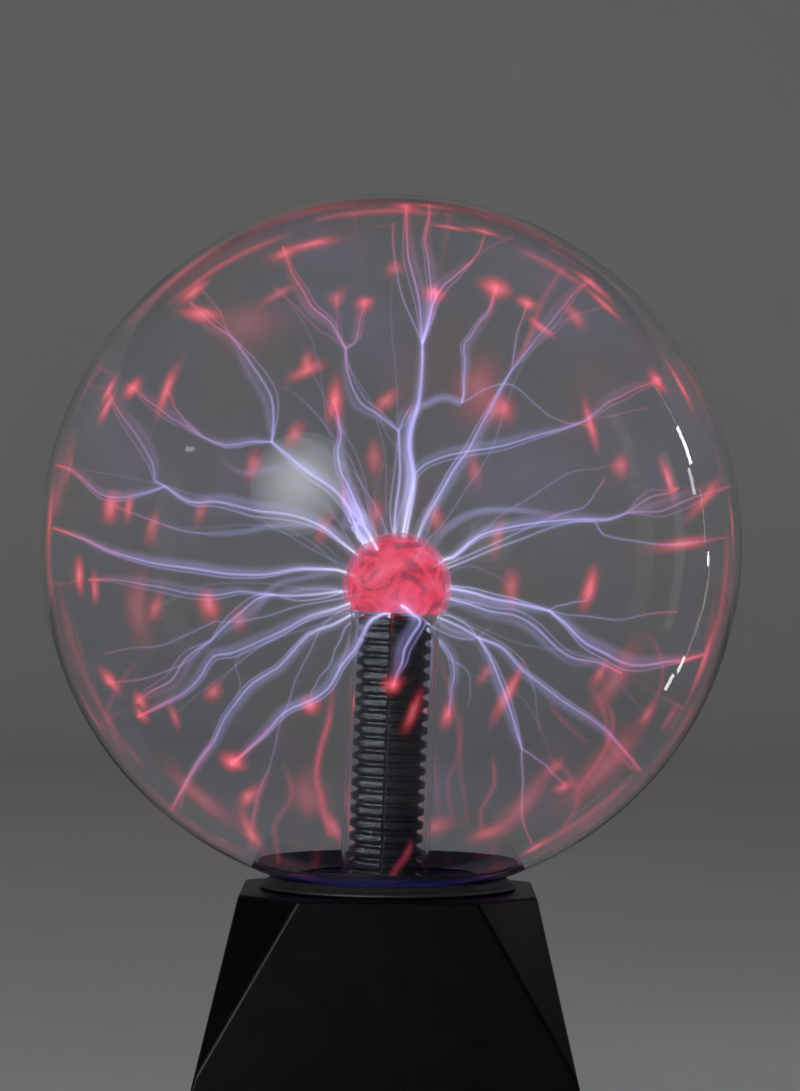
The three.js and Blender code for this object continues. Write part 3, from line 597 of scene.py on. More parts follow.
FILAMENTS = [
    # Up and left
    filament(1.0, "-9 2, -12 9, -17 16, -25 22, -34 29",
        filament(0.9, "-33.5 35, -34 42, -37.5 48, -39 50, -42 54, -45.5 58.5",
            front(0.7, "-50 61, -55 65.5"),
            back(0.4, "-50 66, -53 71, -57.5 77")),
        filament(0.8, "-40 29, -47 28, -53 30",
            front(0.6, "-57 34, -60 41"),
            back(0.7, "-60 34, -68 39, -75 45, -79 47"))),
    filament(0.5, "-17 16, -27 22.5, -36 22.5, -43 21, -49 23.5, -53 30", side=0.6, looks="band"),
    filament(1.0, "-13 0, -20 5, -30 8.5, -40 10, -50 12, -58 12, -65 16.5",
        back(0.7, "-68 18, -69 23, -73 30, -79 37.5, -84 45"),
        front(0.8, "-70 14.5, -76 13, -83 14, -90 20, -95 22")),
    filament(0.5, "-13 2, -20 5, -35 5, -45 3.5, -54 3",
        back(0.6, "-62 4, -70 6, -78 9, -83 11"), looks="band"),
    front(1.0, "-6 3, -8 8, -11 14, -14 20, -14.5 25, -13 30, -15 38"),
    filament(1.1, "-6 4, -9 9, -12 14, -14.5 19", side=-0.3, looks="band"),
    filament(0.3, "-5 5, -8 15, -12 25, -16 30, -22 38, -30 45, -39 50", side=0.5),
    filament(1.5, "-7 1, -10.5 5, -9.5 7, -13 12, -13.5 16", side=-0.2),
    filament(0.9, "-6 2, -9 6, -12 7, -11 11, -14.5 13", side=-0.3),
    back(0.3, "-2 6, -5 12, -12 22, -20 28, -31 35"),
    # Up and right
    filament(1.0, "1 4, 1.5 15, 2 26, 2 33",
        filament(0.9, "-5 38.5, -9 41, -12 46, -13.5 53, -13.5 56.5",
            back(0.7, "-10.5 60, -9.5 66, -9 71, -9 75"),
            back(0.4, "-16 63, -17 70, -17.5 76"),
            front(0.8, "-19 64, -24 69, -28 76, -30 81"),
            front(0.3, "-20 60, -26 65, -32 69")),
        filament(0.8, "4 38, 6 42", side=0.3)),
    filament(1.3, "3.5 4, 5 12, 6 20, 5 28, 5.5 34, 7.5 42, 8.5 50, 8.5 58",
        back(0.6, "6 64, 3 71, 1 79, 0 88, 0 95"),
        front(0.9, "7.5 68, 6 75, 3.5 82, 3.5 90, 3.5 95"),
        back(0.9, "11 68, 12.5 75, 12.5 78"),
        front(0.8, "11 68, 10 80, 8.5 85, 10 92, 10 95.5"),
        filament(0.8, "12.5 71, 17 76, 22.5 81",
            back(0.6, "26 88, 27 93"),
            front(0.3, "28 84, 33 85"))),
    filament(0.8, "5 20, 5.5 37, 10 41, 15 42.5, 20 41",
        front(0.8, "20.5 45, 20 55, 21.5 58, 26 64, 28 70"),
        back(0.5, "28 46, 34 47.5, 39 45, 45 40, 52 38.5, 60 37"), looks="band"),
    filament(0.9, "8 3, 13 13, 18 22, 23 29, 27 37, 31 45, 34.5 51",
        back(0.6, "36 60, 38.5 68, 41 74.5"),
        front(0.7, "40 58, 45 64, 52 72, 55 73.5"),
        back(0.4, "40 58, 47 64.5, 55 68.5, 62 71")),
    back(0.6, "34 51, 38 57, 42 68, 46 76, 50 82", "streak"),
    filament(0.5, "6 2, 12 13, 17 21, 21 27, 24 33", side=0.3, looks="band"),
    filament(0.8, "6 13, 7 21, 13 25, 22 27, 35 29.5, 48 33.5, 55 36",
        front(0.7, "60 40, 68 44, 73 46"),
        back(0.3, "63 38.5, 70 40, 77 42")),
    filament(0.7, "12 0, 17 6, 25 10, 35 11, 45 10, 53 8", side=0.4, looks="band"),
    filament(1.0, "15 -4, 18 -3, 25 3, 32 5.5, 42 7, 52 8, 62 8, 68 10",
        back(0.7, "76 15, 81 16, 86 18"),
        front(0.7, "73 10.5, 78 11, 87 14.5, 95 17.5")),
    back(0.5, "45 8, 53 10.5, 58 12, 62 17, 65 21"),
    front(0.6, "53 7.5, 60 4, 68 1.5, 80 1, 92 3"),
    # Down and left
    front(1.0, "-15.5 -7, -25 -6.5, -35 -8, -45 -8.5, -53 -7, -62 -6, -72 -4, -79 -2, -85 1, -93 4"),
    filament(0.5, "-16 -8.5, -25 -9, -32 -11, -37 -15, -40 -20, -43 -25", side=0.5, looks="band"),
    filament(1.0, "-15.5 -13.5, -25 -15, -33 -14.5",
        filament(0.9, "-38 -15.5, -44 -20, -48 -24, -51 -27.5",
            back(0.8, "-58 -33, -65 -40, -72 -45, -76 -48"),
            front(0.5, "-57 -33, -63 -36, -70 -37.5, -77 -38")),
        back(0.7, "-42 -14, -50 -15, -58 -14, -66 -13, -74 -12, -82 -11, -90 -11")),
    front(0.9, "-15.5 -18, -22 -20, -30 -24, -37 -27.5, -45 -30, -49 -31, -52 -36, -56 -40.5, -60 -43, "
               "-68 -47"),
    front(0.9, "-13 -21, -17 -23.5, -23 -25.5, -28 -30, -32 -35, -38 -39, -43 -44, -47 -49, -50 -56, "
               "-54 -62, -61 -75"),
    back(0.4, "-44 -22, -50 -22, -56 -25, -62 -28, -68 -30, -76 -30.5, -85 -33"),
    front(1.1, "0 -19, -5 -21, -8 -25, -10 -30, -13 -34, -17 -39, -22 -43, -29 -46, -34 -51, -39 -56, "
               "-42 -59"),
    back(0.5, "-13 -24, -15.5 -30, -19 -37, -23 -43, -25 -50"),
    front(0.35, "-16 -20, -20 -25, -25 -35, -28 -43, -31 -52, -33 -62, -36 -70, -38 -80"),
    front(0.5, "-33 -62, -36 -70, -38 -85", "streak"),
    filament(0.35, "-10 -22, -12 -27, -14 -34, -17 -43", side=0.5),
    back(0.9, "-16.5 -40, -18 -50, -20.5 -60, -22 -69, -20 -76, -17.5 -87", "streak"),
    back(0.3, "-42 -31, -45 -42, -47 -50"),
    # Down and right
    filament(1.3, "15 -11.5, 22 -13, 30 -15.5, 38 -17, 46 -18.5",
        front(1.2, "50 -22, 54 -26, 60 -30, 68 -32.5, 77 -32, 86 -29"),
        back(0.6, "53 -16.5, 58 -16, 62 -13"),
        back(0.5, "52 -20, 58 -20, 66 -21, 75 -20, 86 -19")),
    back(0.9, "15 -14.5, 22 -16.5, 29 -19, 36 -20, 42 -24, 48 -29, 55 -33, 63 -35, 70 -38"),
    filament(1.0, "14 -20.5, 20 -23, 25 -26",
        front(0.9, "32 -29, 38 -35, 44 -40, 52 -45, 58 -49, 63 -54, 69 -61"),
        filament(0.9, "28 -31, 32 -39, 34.5 -46, 36.5 -53, 38 -58",
            front(0.6, "37.5 -66, 37.5 -73, 39 -80, 41 -84"),
            back(0.6, "43 -61, 48 -66, 53 -72"))),
    filament(0.6, "10 -21.5, 16 -25, 21 -26, 25 -25, 29 -21", side=-0.4),
    back(0.7, "12.5 -25, 15.5 -29, 18 -34, 19 -41, 18 -48, 18 -53"),
    back(0.3, "18 -33, 22 -36, 24.5 -42, 24 -50"),
    front(0.3, "12 -26, 18 -45, 19 -56, 16.5 -62, 16.5 -68, 17.5 -73", "streak"),
    back(0.25, "8 -30, 11 -55, 13.5 -65, 14.5 -75, 15 -83", "streak"),
    back(0.25, "21 -45, 21 -58, 21.5 -68, 22.5 -76, 23.5 -83", "streak"),
    back(0.3, "36 -30, 41 -38, 44 -47, 45.5 -56"),
    back(0.3, "46 -43, 50 -50, 55 -55, 60 -59", "streak"),
    front(1.2, "3 -17, 8 -20.5, 5.5 -25, 3 -32, 1 -37"),
    front(0.5, "56 -38, 60 -46, 61 -54, 66 -60, 70 -62", "streak"),
    back(0.5, "62 -44, 66 -50, 65 -57, 60 -66, 56 -72", "streak"),
    front(0.45, "44 -58, 50 -63, 52 -70, 48 -78", "streak"),
    back(0.45, "30 -60, 31 -70, 27 -78, 28 -86", "streak"),
    front(0.45, "-48 -52, -52 -60, -56 -66, -58 -74", "streak"),
    front(0.4, "-30 -60, -27 -70, -31 -78, -30 -88", "streak"),
    front(0.4, "-70 -32, -76 -40, -78 -48, -74 -58", "streak"),
    back(0.4, "74 -24, 80 -32, 80 -42, 76 -50", "streak"),
    front(0.6, "7 -82, 5 -86, 2.5 -89, 0.5 -92", "streak"),
    back(0.5, "9 -40, 8.5 -50, 8 -60, 8 -70, 7 -80", "streak"),
]

# Spots on the glass: (x, z, side, lean in degrees, half length, half width, strength), lengths in
# hundredths of the globe's radius
SPOTS = [
    (-60, 75.5, BACK, 0, 4, 4, 0.8), (-52, 63, FRONT, -35, 7, 2.4, 0.9), (-22, 83, FRONT, 10, 6, 2.4, 0.9),
    (-30, 80, FRONT, 30, 3.5, 2.5, 0.7), (-9, 75, BACK, 0, 2.6, 2.8, 0.8),
    (-15, 38.5, FRONT, 90, 5, 2, 0.9), (-61, 42, FRONT, 90, 7, 2.2, 0.8), (-79, 47, BACK, 0, 3.5, 3, 0.9),
    (-85, 46, BACK, 80, 4, 2.5, 0.8), (-86, 41, BACK, 60, 4.5, 2.5, 0.8), (-86, 11, BACK, 0, 4, 3.6, 0.8),
    (-81, 11, BACK, 90, 3.5, 2, 0.6), (-96, 7, FRONT, 90, 8, 3, 0.9), (3.5, 95, FRONT, 90, 4, 3, 1.0),
    (10, 95.5, FRONT, 0, 4, 2, 0.9), (17, 95.5, BACK, 10, 5, 1.6, 0.8), (27, 94, BACK, -10, 4, 2, 0.9),
    (12.5, 78, BACK, 0, 3, 3.4, 1.0), (28, 70, FRONT, 0, 3.4, 3.8, 1.0), (41, 74.5, BACK, 20, 3, 2.4, 0.9),
    (55, 73.5, FRONT, -45, 5.5, 2.4, 1.0), (63, 73, BACK, -20, 5, 2.2, 0.9),
    (45.5, 67.5, BACK, -40, 4, 1.8, 0.8), (73, 46, FRONT, 0, 3, 2.8, 1.0),
    (61.5, 38, BACK, 90, 6, 1.8, 0.8), (86, 48, BACK, -60, 6, 2, 0.9), (84.5, 21, BACK, -60, 5, 2.2, 0.8),
    (96, 7, FRONT, -75, 6, 2, 0.8), (80, 1, FRONT, 3, 13, 1.5, 0.7), (87, 14, FRONT, 18, 10, 1.7, 0.7),
    (-57, -19, BACK, 90, 4, 3, 0.8), (-94, -10, BACK, 90, 4, 3, 0.9), (-90, -14, BACK, 60, 4, 2, 0.7),
    (-84, -49, FRONT, -55, 6, 2.5, 0.8), (-77, -38, FRONT, 0, 3.5, 2.4, 0.9),
    (-76, -48, BACK, 0, 2.5, 2.5, 0.8), (-68, -47, FRONT, 0, 2.5, 2, 0.7),
    (-42, -59, FRONT, 30, 3.4, 2.6, 1.0), (-25, -50.5, BACK, 60, 2.6, 2.4, 0.9),
    (-43, -77, BACK, 60, 6, 2, 0.7), (-38, -80, FRONT, 80, 9, 2.2, 0.6), (-17, -86, BACK, 90, 7, 2, 0.5),
    (62, -13, BACK, 65, 5.5, 2.2, 0.9), (88, -30, FRONT, 90, 8, 2.2, 0.8), (37.5, -45, BACK, 75, 8, 2, 0.8),
    (1, -37, FRONT, 0, 2.4, 2, 0.9), (6.5, -44, FRONT, 75, 5, 1.4, 0.6), (18, -53, BACK, 90, 4, 1.8, 0.7),
    (41, -84, FRONT, 80, 4, 2, 0.8), (53, -73, BACK, 0, 3, 2.5, 0.6),
    # Softer and wider
    (27, 50, BACK, 70, 9, 6, 0.3), (33, 43, BACK, 0, 5, 4, 0.4), (-27, 54.5, BACK, 25, 6, 2, 0.6),
    (-45, 68, BACK, -30, 12, 8, 0.2), (60, -60, FRONT, 50, 14, 8, 0.32), (13, -86, BACK, 0, 6, 4, 0.4),
    (30, -87, BACK, 20, 6, 4, 0.4), (-52, -70, FRONT, -50, 12, 5, 0.3), (70, -40, BACK, 60, 10, 5, 0.3),
    (36, -72, FRONT, 80, 12, 4, 0.3), (-25, -78, BACK, 80, 10, 5, 0.25), (-78, -20, BACK, 70, 10, 5, 0.25),
]

# Fainter spots, with a thin filament each: (x, z, side, strength)
FAINT = [
    (-17.5, 76, BACK, 0.5), (-96, 22, BACK, 0.5), (-64, 5, FRONT, 0.5), (-44, 25, BACK, 0.6),
    (-31, 35, BACK, 0.6), (-6, 28, BACK, 0.5), (-27, 57, BACK, 0.6), (-2, 46, BACK, 0.7),
    (0, 85, BACK, 0.5), (-35, 77, BACK, 0.5), (50, 63, FRONT, 0.6), (35, 44, BACK, 0.6),
    (62, 22, FRONT, 0.7), (33.5, 3, BACK, 0.5), (14, 9, BACK, 0.6), (-73, -20, BACK, 0.6),
    (-55, -46, BACK, 0.7), (-66, -53, BACK, 0.5), (38, -13, BACK, 0.6), (65, -39, BACK, 0.6),
    (71, -46, FRONT, 0.5), (-40, -20, FRONT, 0.4), (22, 20, FRONT, 0.4), (-22, 5, BACK, 0.4),
    (45, -60, FRONT, 0.4), (-10, -30, BACK, 0.5), (12, -20, BACK, 0.5), (-5, 10, BACK, 0.5),
    (30, -40, BACK, 0.4), (-60, 10, BACK, 0.4),
]


def heading(turn, rise):
    """A direction by its turn about Z and its rise above the horizontal."""
    return Vector((math.cos(turn) * math.cos(rise), math.sin(turn) * math.cos(rise), math.sin(rise)))


class Gas:
    """Sheets of glowing gas, gathered into one mesh: points with a colour and a density, and faces."""

    def __init__(self):
        self.points, self.faces, self.colours, self.densities = [], [], [], []

    def grid(self, rows, closed=False):
        """Faces between rows of (point, colour, density) that all have one length."""
        first, across = len(self.points), len(rows[0])
        for row in rows:
            for point, colour, density in row:
                self.points.append(point)
                self.colours.extend((*colour, 1))
                self.densities.append(density)
        for i in range(len(rows) - 1):
            for j in range(across if closed else across - 1):
                a, b = first + i * across + j, first + i * across + (j + 1) % across
                self.faces.append((a, b, b + across, a + across))

    def dome(self, rises, spokes, sample):
        """A sheet round the vertical. sample gives a point of it from its direction and its row's number."""
        turns = [2 * math.pi * j / spokes for j in range(spokes)]
        rows = [[sample(heading(turn, rise), i) for turn in turns] for i, rise in enumerate(rises)]
        self.grid(rows, closed=True)

    def piece(self, name, material):
        mesh = bpy.data.meshes.new(name)
        mesh.from_pydata(self.points, [], self.faces)
        mesh.attributes.new("glow", "FLOAT_COLOR", "POINT").data.foreach_set("color", self.colours)
        mesh.attributes.new("cover", "FLOAT", "POINT").data.foreach_set("value", self.densities)
        mesh.shade_smooth()
        made = make_object(name, mesh)
        made.visible_shadow = False
        made.visible_diffuse = False
        finish_piece(made, material, "steel_wool")


def globe_point(x, y, z):
    """A place given in globe radii from the globe's middle."""
    return GLOBE_CENTRE + Vector((x, y, z)) * GLOBE_RADIUS


def mixed(a, b, share):
    return tuple(p + (q - p) * share for p, q in zip(a, b))


def blend(stops, at):
    """The colour at one place between (place, colour) stops."""
    for (low, a), (high, b) in zip(stops, stops[1:]):
        if at <= high:
            return mixed(a, b, max(0.0, (at - low) / (high - low)))
    return stops[-1][1]


def smooth_route(points, step):
    """Points a short step apart on a curve through all the given points."""
    ends = [points[0] * 2 - points[1], *points, points[-1] * 2 - points[-2]]
    out = []
    for a, b, c, d in zip(ends, ends[1:], ends[2:], ends[3:]):
        count = max(1, round((c - b).length / step))
        for i in range(count):
            t = i / count
            out.append(0.5 * (2 * b + (c - a) * t + (2 * a - 5 * b + 4 * c - d) * t ** 2
                              + (3 * b - a - 3 * c + d) * t ** 3))
    return [*out, points[-1]]


def run_length(points):
    return sum((b - a).length for a, b in zip(points, points[1:]))


def ribbons(gas, path, looks, strength, colour_at, density_at):
    """Three crossed sheets along a path, densest in the middle, so that it looks round from all sides."""
    profile = LOOKS[looks]
    sides = [(-offset, density) for offset, density in reversed(profile[1:])] + list(profile)
    normal = (path[1] - path[0]).orthogonal().normalized()
    frames = []
    for i, point in enumerate(path):
        along = (path[min(i + 1, len(path) - 1)] - path[max(i - 1, 0)]).normalized()
        normal = (normal - along * normal.dot(along)).normalized()
        frames.append((point, normal, along.cross(normal)))
    width = (0.42 + 0.34 * strength) * MM
    for turn in (0, math.pi / 3, 2 * math.pi / 3):
        rows = []
        for i, (point, normal, other) in enumerate(frames):
            out = normal * math.cos(turn) + other * math.sin(turn)
            t = i / (len(frames) - 1)
            colour, dense = colour_at(t), density_at(t)
            rows.append([(point + out * offset * width, colour, cover * dense) for offset, cover in sides])
        gas.grid(rows)


def reach(branch):
    """How deep a filament's ends are on average, and how far from its start, in globe radii."""
    own = run_length([Vector(p) for p in branch.route])
    if not branch.forks:
        x, z = branch.route[-1]
        return branch.side * math.sqrt(max(0.0, TOUCH ** 2 - x * x - z * z)), own
    ends = [reach(fork) for fork in branch.forks]
    return sum(end[0] for end in ends) / len(ends), own + sum(end[1] for end in ends) / len(ends)


def within(x, y, z):
    """The same place, brought forward or back if it is outside the gas."""
    room = math.sqrt(max(0.0, TOUCH ** 2 - x * x - z * z))
    return globe_point(x, max(-room, min(room, y)), z)


def grow(gas, branch, start=None, covered=0.0):
    """Draws a filament and its forks. start is where it leaves another: (x, depth, z) in globe radii."""
    depth, length = reach(branch)
    flat = [Vector(p) for p in branch.route]
    if start:
        flat.insert(0, Vector((start[0], start[2])))
        length += (flat[1] - flat[0]).length
        first_depth = start[1]
    else:
        first_depth = depth * (STREAK_START if branch.looks == "streak" else BULB_START)
    gone, path = 0.0, []
    for a, b in zip([flat[0], *flat], flat):
        gone += (b - a).length
        path.append(within(b.x, first_depth + (depth - first_depth) * gone / length, b.y))
    if not start and branch.looks != "streak":
        path.insert(0, BULB_CENTRE + (path[0] - BULB_CENTRE).normalized() * BULB_RADIUS)
    path = smooth_route(path, ROUTE_STEP)
    for i, point in enumerate(path[1:-1], 1):
        fade = min(1, i / 4, (len(path) - 1 - i) / 4)
        path[i] = point + noise.noise_vector(point * 70) * WANDER * MM * fade
    share = covered + (1 - covered) * gone / length
    draw(gas, branch, path, covered, share)
    end = flat[-1]
    for fork in branch.forks:
        grow(gas, fork, (end.x, first_depth + (depth - first_depth) * gone / length, end.y), share)


def draw(gas, branch, path, covered, share):
    """Ribbons for one stretch of a filament, from one share of the way to the glass to another."""
    ends_free = not branch.forks and abs(branch.side) < 1
    red = branch.looks == "streak"

    def colour_at(t):
        return STREAK_RED if red else blend(COLOURS, covered + (share - covered) * t)

    def density_at(t):
        way = covered + (share - covered) * t
        root = 1 + 0.2 * math.exp(-way / 0.05)
        fade = min(1.0, (1 - t) * 4) if ends_free else 1.0
        enter = min(1.0, t * 4) if red or branch.looks == "band" else 1.0
        return DENSITY * branch.strength ** 1.2 * root * fade * enter * (1 - 0.35 * way)

    ribbons(gas, path, branch.looks, branch.strength, colour_at, density_at)

    def trail_at(t):
        return density_at(t) * math.sin(math.pi * t) ** 0.5

    if branch.looks == "thread" and branch.strength > 0.6:
        side = random.choice((-1, 1))
        ribbons(gas, swung(path, 1.5 * MM * side), "smear", branch.strength, colour_at, trail_at)
        ribbons(gas, swung(path, -1.4 * MM * side), "thread", 0.2, colour_at, lambda t: 0.5 * density_at(t))


def swung(path, far):
    """The same path bowed a little to one side, where the filament was a moment earlier."""
    across = (path[-1] - path[0]).cross(Vector((0, 1, 0))).normalized()
    swing = far * (1 + noise.noise(path[-1] * 60))
    last = len(path) - 1
    return [point + across * swing * math.sin(math.pi * i / last) for i, point in enumerate(path)]


SPOT_COLOURS = ((0, (1.0, 0.2, 0.26)), (0.5, (1.0, 0.07, 0.11)), (1, (0.9, 0.04, 0.08)))
SPOT_DENSITY = 0.42  # of the middle of a spot of strength 1
SPOT_FALL = 4.5  # how fast a spot fades outwards


def spot(gas, x, z, side, lean, length, width, strength):
    """A soft stroke of light where a filament plays on the glass."""
    x, z = x / 100, z / 100
    middle = Vector((x, side * math.sqrt(max(0.0, 1 - x * x - z * z)), z)).normalized()
    along = Vector((math.cos(math.radians(lean)), 0, math.sin(math.radians(lean))))
    along = (along - middle * along.dot(middle)).normalized()
    across = middle.cross(along)
    rings, spokes = 6, 20
    rows = []
    for i in range(rings + 1):
        share = i / rings
        row = []
        for j in range(spokes):
            turn = 2 * math.pi * j / spokes
            place = Vector((math.cos(turn) + x * 50, math.sin(turn) + z * 50, share))
            ragged = 1 + 0.35 * noise.noise(place)
            offset = along * math.cos(turn) * length + across * math.sin(turn) * width
            offset = offset * share * ragged * 2 / 100
            dense = math.exp(-SPOT_FALL * share ** 2) - math.exp(-SPOT_FALL)
            point = globe_point(*((middle + offset).normalized() * TOUCH))
            row.append((point, blend(SPOT_COLOURS, share), strength * SPOT_DENSITY * dense))
        rows.append(row)
    gas.grid(rows, closed=True)


def faint_filament(x, z, side, strength):
    """A thin filament that arches up from the bulb to one spot."""
    bulb = Vector((BULB_CENTRE.x, BULB_CENTRE.z - GLOBE_CENTRE.z)) / GLOBE_RADIUS
    end = Vector((x / 100, z / 100))
    out = (end - bulb).normalized()
    sway = Vector((-out.y, out.x)) * random.uniform(-0.05, 0.05)
    start = bulb + out * min(0.14, (end - bulb).length * 0.3)
    middle = start.lerp(end, 0.35) + sway + Vector((0, 0.05))
    later = start.lerp(end, 0.7) - sway * 0.6 + Vector((0, 0.05))
    route = [tuple(point) for point in (start, middle, later, end)]
    return Filament(strength * 0.4, route, (), side, "thread")


# (height above the bulb in mm, density, how pale) of the layers of glow round the bulb
SKINS = ((0.1, 0.2, 0), (0.25, 0.04, 1), (0.4, 0.02, 1), (1.1, 0.01, 1), (2.2, 0.006, 1))
SKIN_COLOURS = ((0, (0.6, 0.0, 0.03)), (0.5, (0.9, 0.05, 0.12)), (1, (1.0, 0.3, 0.5)))


def bulb_glow(gas):
    """Glow on the bulb's skin, down to the wool's floor: pink blotches, and a fainter haze outside."""
    lowest = math.asin((WOOL_FLOOR - BULB_HEIGHT) / BULB_RADIUS)
    rises = [math.pi / 2 - (math.pi / 2 - lowest) * i / 40 for i in range(41)]
    hot = Vector((0.12, -0.9, -0.42)).normalized()
    for height, solid, pale in SKINS:

        def skin(out, _row):
            blotch = 0.5 + 0.9 * noise.noise(out * 2.6 + Vector((3, 1, 7)))
            heat = math.exp(-((out - hot).length / 0.3) ** 2)
            colour = mixed(blend(SKIN_COLOURS, blotch), (1.0, 0.4, 1.0), heat)
            place = STEM_FRAME @ (out * (BULB_RADIUS + height * MM) + Vector((0, 0, BULB_HEIGHT)))
            return place, mixed(colour, (1.0, 0.35, 0.7), pale), solid

        gas.dome(rises, 72, skin)


# Streaks along the globe's edge: (from, to) in degrees above the right-hand horizon, depth, strength
EDGE_STREAKS = [
    (52, 68, 0.25, 0.6), (60, 86, -0.2, 0.6), (82, 104, 0.12, 1.0), (96, 116, -0.15, 0.9),
    (108, 134, 0.2, 0.8), (118, 142, -0.25, 0.7), (160, 176, 0.1, 0.5), (170, 192, -0.1, 0.7),
    (186, 224, 0.15, 0.4), (222, 246, -0.1, 0.6), (-66, -42, 0.12, 0.7), (-48, -20, -0.15, 0.5),
    (-24, 4, 0.1, 0.6), (-34, -28, 0.2, 0.6), (20, 34, -0.2, 0.3),
]


def edge_streak(gas, start, end, depth, strength):
    """A red streak that follows the globe's edge as seen from the front."""
    reach_out = math.sqrt(TOUCH ** 2 - depth ** 2)
    turns = [math.radians(start + (end - start) * i / 24) for i in range(25)]
    path = [globe_point(reach_out * math.cos(t), depth, reach_out * math.sin(t)) for t in turns]

    def fade(t):
        return DENSITY * strength * math.sin(math.pi * t) ** 0.7

    ribbons(gas, path, "streak", 1, lambda t: (1.0, 0.1, 0.16), fade)


# Colours of the painted reflection on the black coat: violet-blue, and red where it licks at the coat's edge
CAP_REFLECTION_COLOURS = ((0, (0.1, 0.08, 0.62)), (0.4, (0.8, 0.05, 0.18)))


def painted_cap_reflection(gas):
    """A painted reflection of the filaments' glow in the black coat: a violet film of glow between the
    globe's wall and the coat, with red licks at its upper edge.
    """
    radius = INNER_RADIUS - 0.15 * MM
    low, high = below(radius, 26 * MM), below(radius, COAT_EDGE + 0.6 * MM)
    last = 8

    def painted_film(out, row):
        streaks = 0.5 + 0.8 * noise.noise(Vector((out.x * 4, out.y * 4, row * 0.9)))
        lick = max(0.0, noise.noise(Vector((out.x * 5, out.y * 5, 9)))) * (row / last) ** 2
        edge = math.sin(math.pi * min(1, row / last + 0.12))
        cover = 0.09 * edge * max(0.15, streaks) + 0.25 * lick
        return GLOBE_CENTRE + out * radius, blend(CAP_REFLECTION_COLOURS, lick), cover

    gas.dome([low + (high - low) * i / last for i in range(last + 1)], 160, painted_film)


HAZE_COLOURS = ((0, (0.5, 0.3, 0.8)), (0.5, (1.0, 0.16, 0.26)))


def haze(gas):
    """The weak pink glow that fills the globe, as clouds just inside its wall."""
    lowest = below(TOUCH * GLOBE_RADIUS, COAT_EDGE)

    def cloud(out, _row):
        thick = max(0.0, noise.fractal(out * 2.2 + Vector((5, 2, 8)), 1.0, 2.0, 3))
        red = max(0.0, noise.noise(out * 3 + Vector((1, 9, 4))))
        behind = 0.15 + 0.85 * min(1.0, max(0.0, 0.5 + out.y)) ** 2
        place = GLOBE_CENTRE + out * TOUCH * 0.997 * GLOBE_RADIUS
        return place, blend(HAZE_COLOURS, red), (0.005 + 0.04 * thick) * behind

    gas.dome([lowest + (math.pi / 2 - 0.01 - lowest) * i / 32 for i in range(33)], 64, cloud)


def plasma_pieces():
    filaments, spots = Gas(), Gas()
    for branch in FILAMENTS:
        grow(filaments, branch)
    for x, z, side, strength in FAINT:
        grow(filaments, faint_filament(x, z, side, strength))
        lean, length, width = random.uniform(40, 100), random.uniform(3, 5), random.uniform(1.8, 2.6)
        spot(spots, x, z, side, lean, length, width, strength * 0.8)
    for values in SPOTS:
        spot(spots, *values)
    for values in EDGE_STREAKS:
        edge_streak(spots, *values)
    haze(spots)
    # Painted reflection of the filaments' glow in the black coat
    painted_cap_reflection(spots)
    skin = Gas()
    bulb_glow(skin)
    skin.piece("bulb_glow", plasma("bulb_glow", 1.1))
    filaments.piece("plasma_filaments", plasma("plasma_filaments", 2.2))
    spots.piece("plasma_spots", plasma("plasma_spots", 2.2))


# ---- Stage ----

CAMERA_DISTANCE = 1.067
CAMERA_SIDE = 0.0026
LENS = 123.2
WINDOW_GAIN = 1.6  # on the radiances below
WINDOW_DISTANCE = 0.3  # of the panes from the glass that mirrors them
GLOW_ENERGY = 0.12  # of the light that the plasma itself gives

# Soft round lamps at both sides of the camera: azimuth, elevation, layers, radiance
LAMPS = ((-29, 18, 7, 3.4), (30, 2, 4, 0.8))

# Panes and slits of far windows: where the globe mirrors them, width, height, radiance
WINDOWS = [
    (0.815, 0.285, 0.012, 0.045, 12), (0.835, 0.185, 0.012, 0.03, 5), (0.885, -0.03, 0.008, 0.015, 9),
    (0.81, -0.325, 0.01, 0.02, 8), (0.777, -0.375, 0.012, 0.02, 8), (-0.55, 0.26, 0.02, 0.008, 6),
    (0.76, 0.4, 0.004, 0.06, 1.2), (0.87, 0.09, 0.004, 0.06, 1.2), (0.885, -0.1, 0.004, 0.06, 1.2),
    (0.87, -0.17, 0.004, 0.06, 1.2), (0.84, -0.26, 0.004, 0.06, 1.2), (0.7, 0.0, 0.05, 0.2, 0.4),
    (0.8, 0.02, 0.03, 0.24, 0.5), (0.64, 0.3, 0.03, 0.12, 0.5), (-0.62, -0.05, 0.06, 0.3, 0.35),
]


def camera():
    data = bpy.data.cameras.new("camera")
    data.lens = LENS
    data.sensor_width = 36
    made = make_object("camera", data)
    made.location = (CAMERA_SIDE, -CAMERA_DISTANCE, GLOBE_CENTRE.z)
    made.rotation_euler = Euler((math.radians(90), math.radians(-0.5), 0))
    bpy.context.scene.camera = made


def cyclorama():
    """A plain pale floor that curves up into a low wall all round. Only the wall is mirrored."""
    flat, bend, wall = 2.1, 1.1, 1.7
    profile = [(0, 0), (0.4, 0), (1.2, 0), (flat, 0)]
    for i in range(1, 25):
        turn = math.pi / 2 * i / 24
        profile.append((flat + bend * math.sin(turn), bend * (1 - math.cos(turn))))
    profile.append((flat + bend, wall))
    surface = Surface("pale_floor")
    mottle = surface.texture(3, Detail=4.0)
    surface.feed("Base Color", surface.ramp(mottle, (0.3, (0.56, 0.57, 0.56)), (0.7, (0.6, 0.61, 0.6))))
    surface.set({"Roughness": 0.9, "Specular IOR Level": 0.1})
    floor = turned("floor", profile[:4], 128)
    floor.visible_glossy = False
    for room in (floor, turned("wall", profile[3:], 128)):
        room.data.materials.append(surface.material)


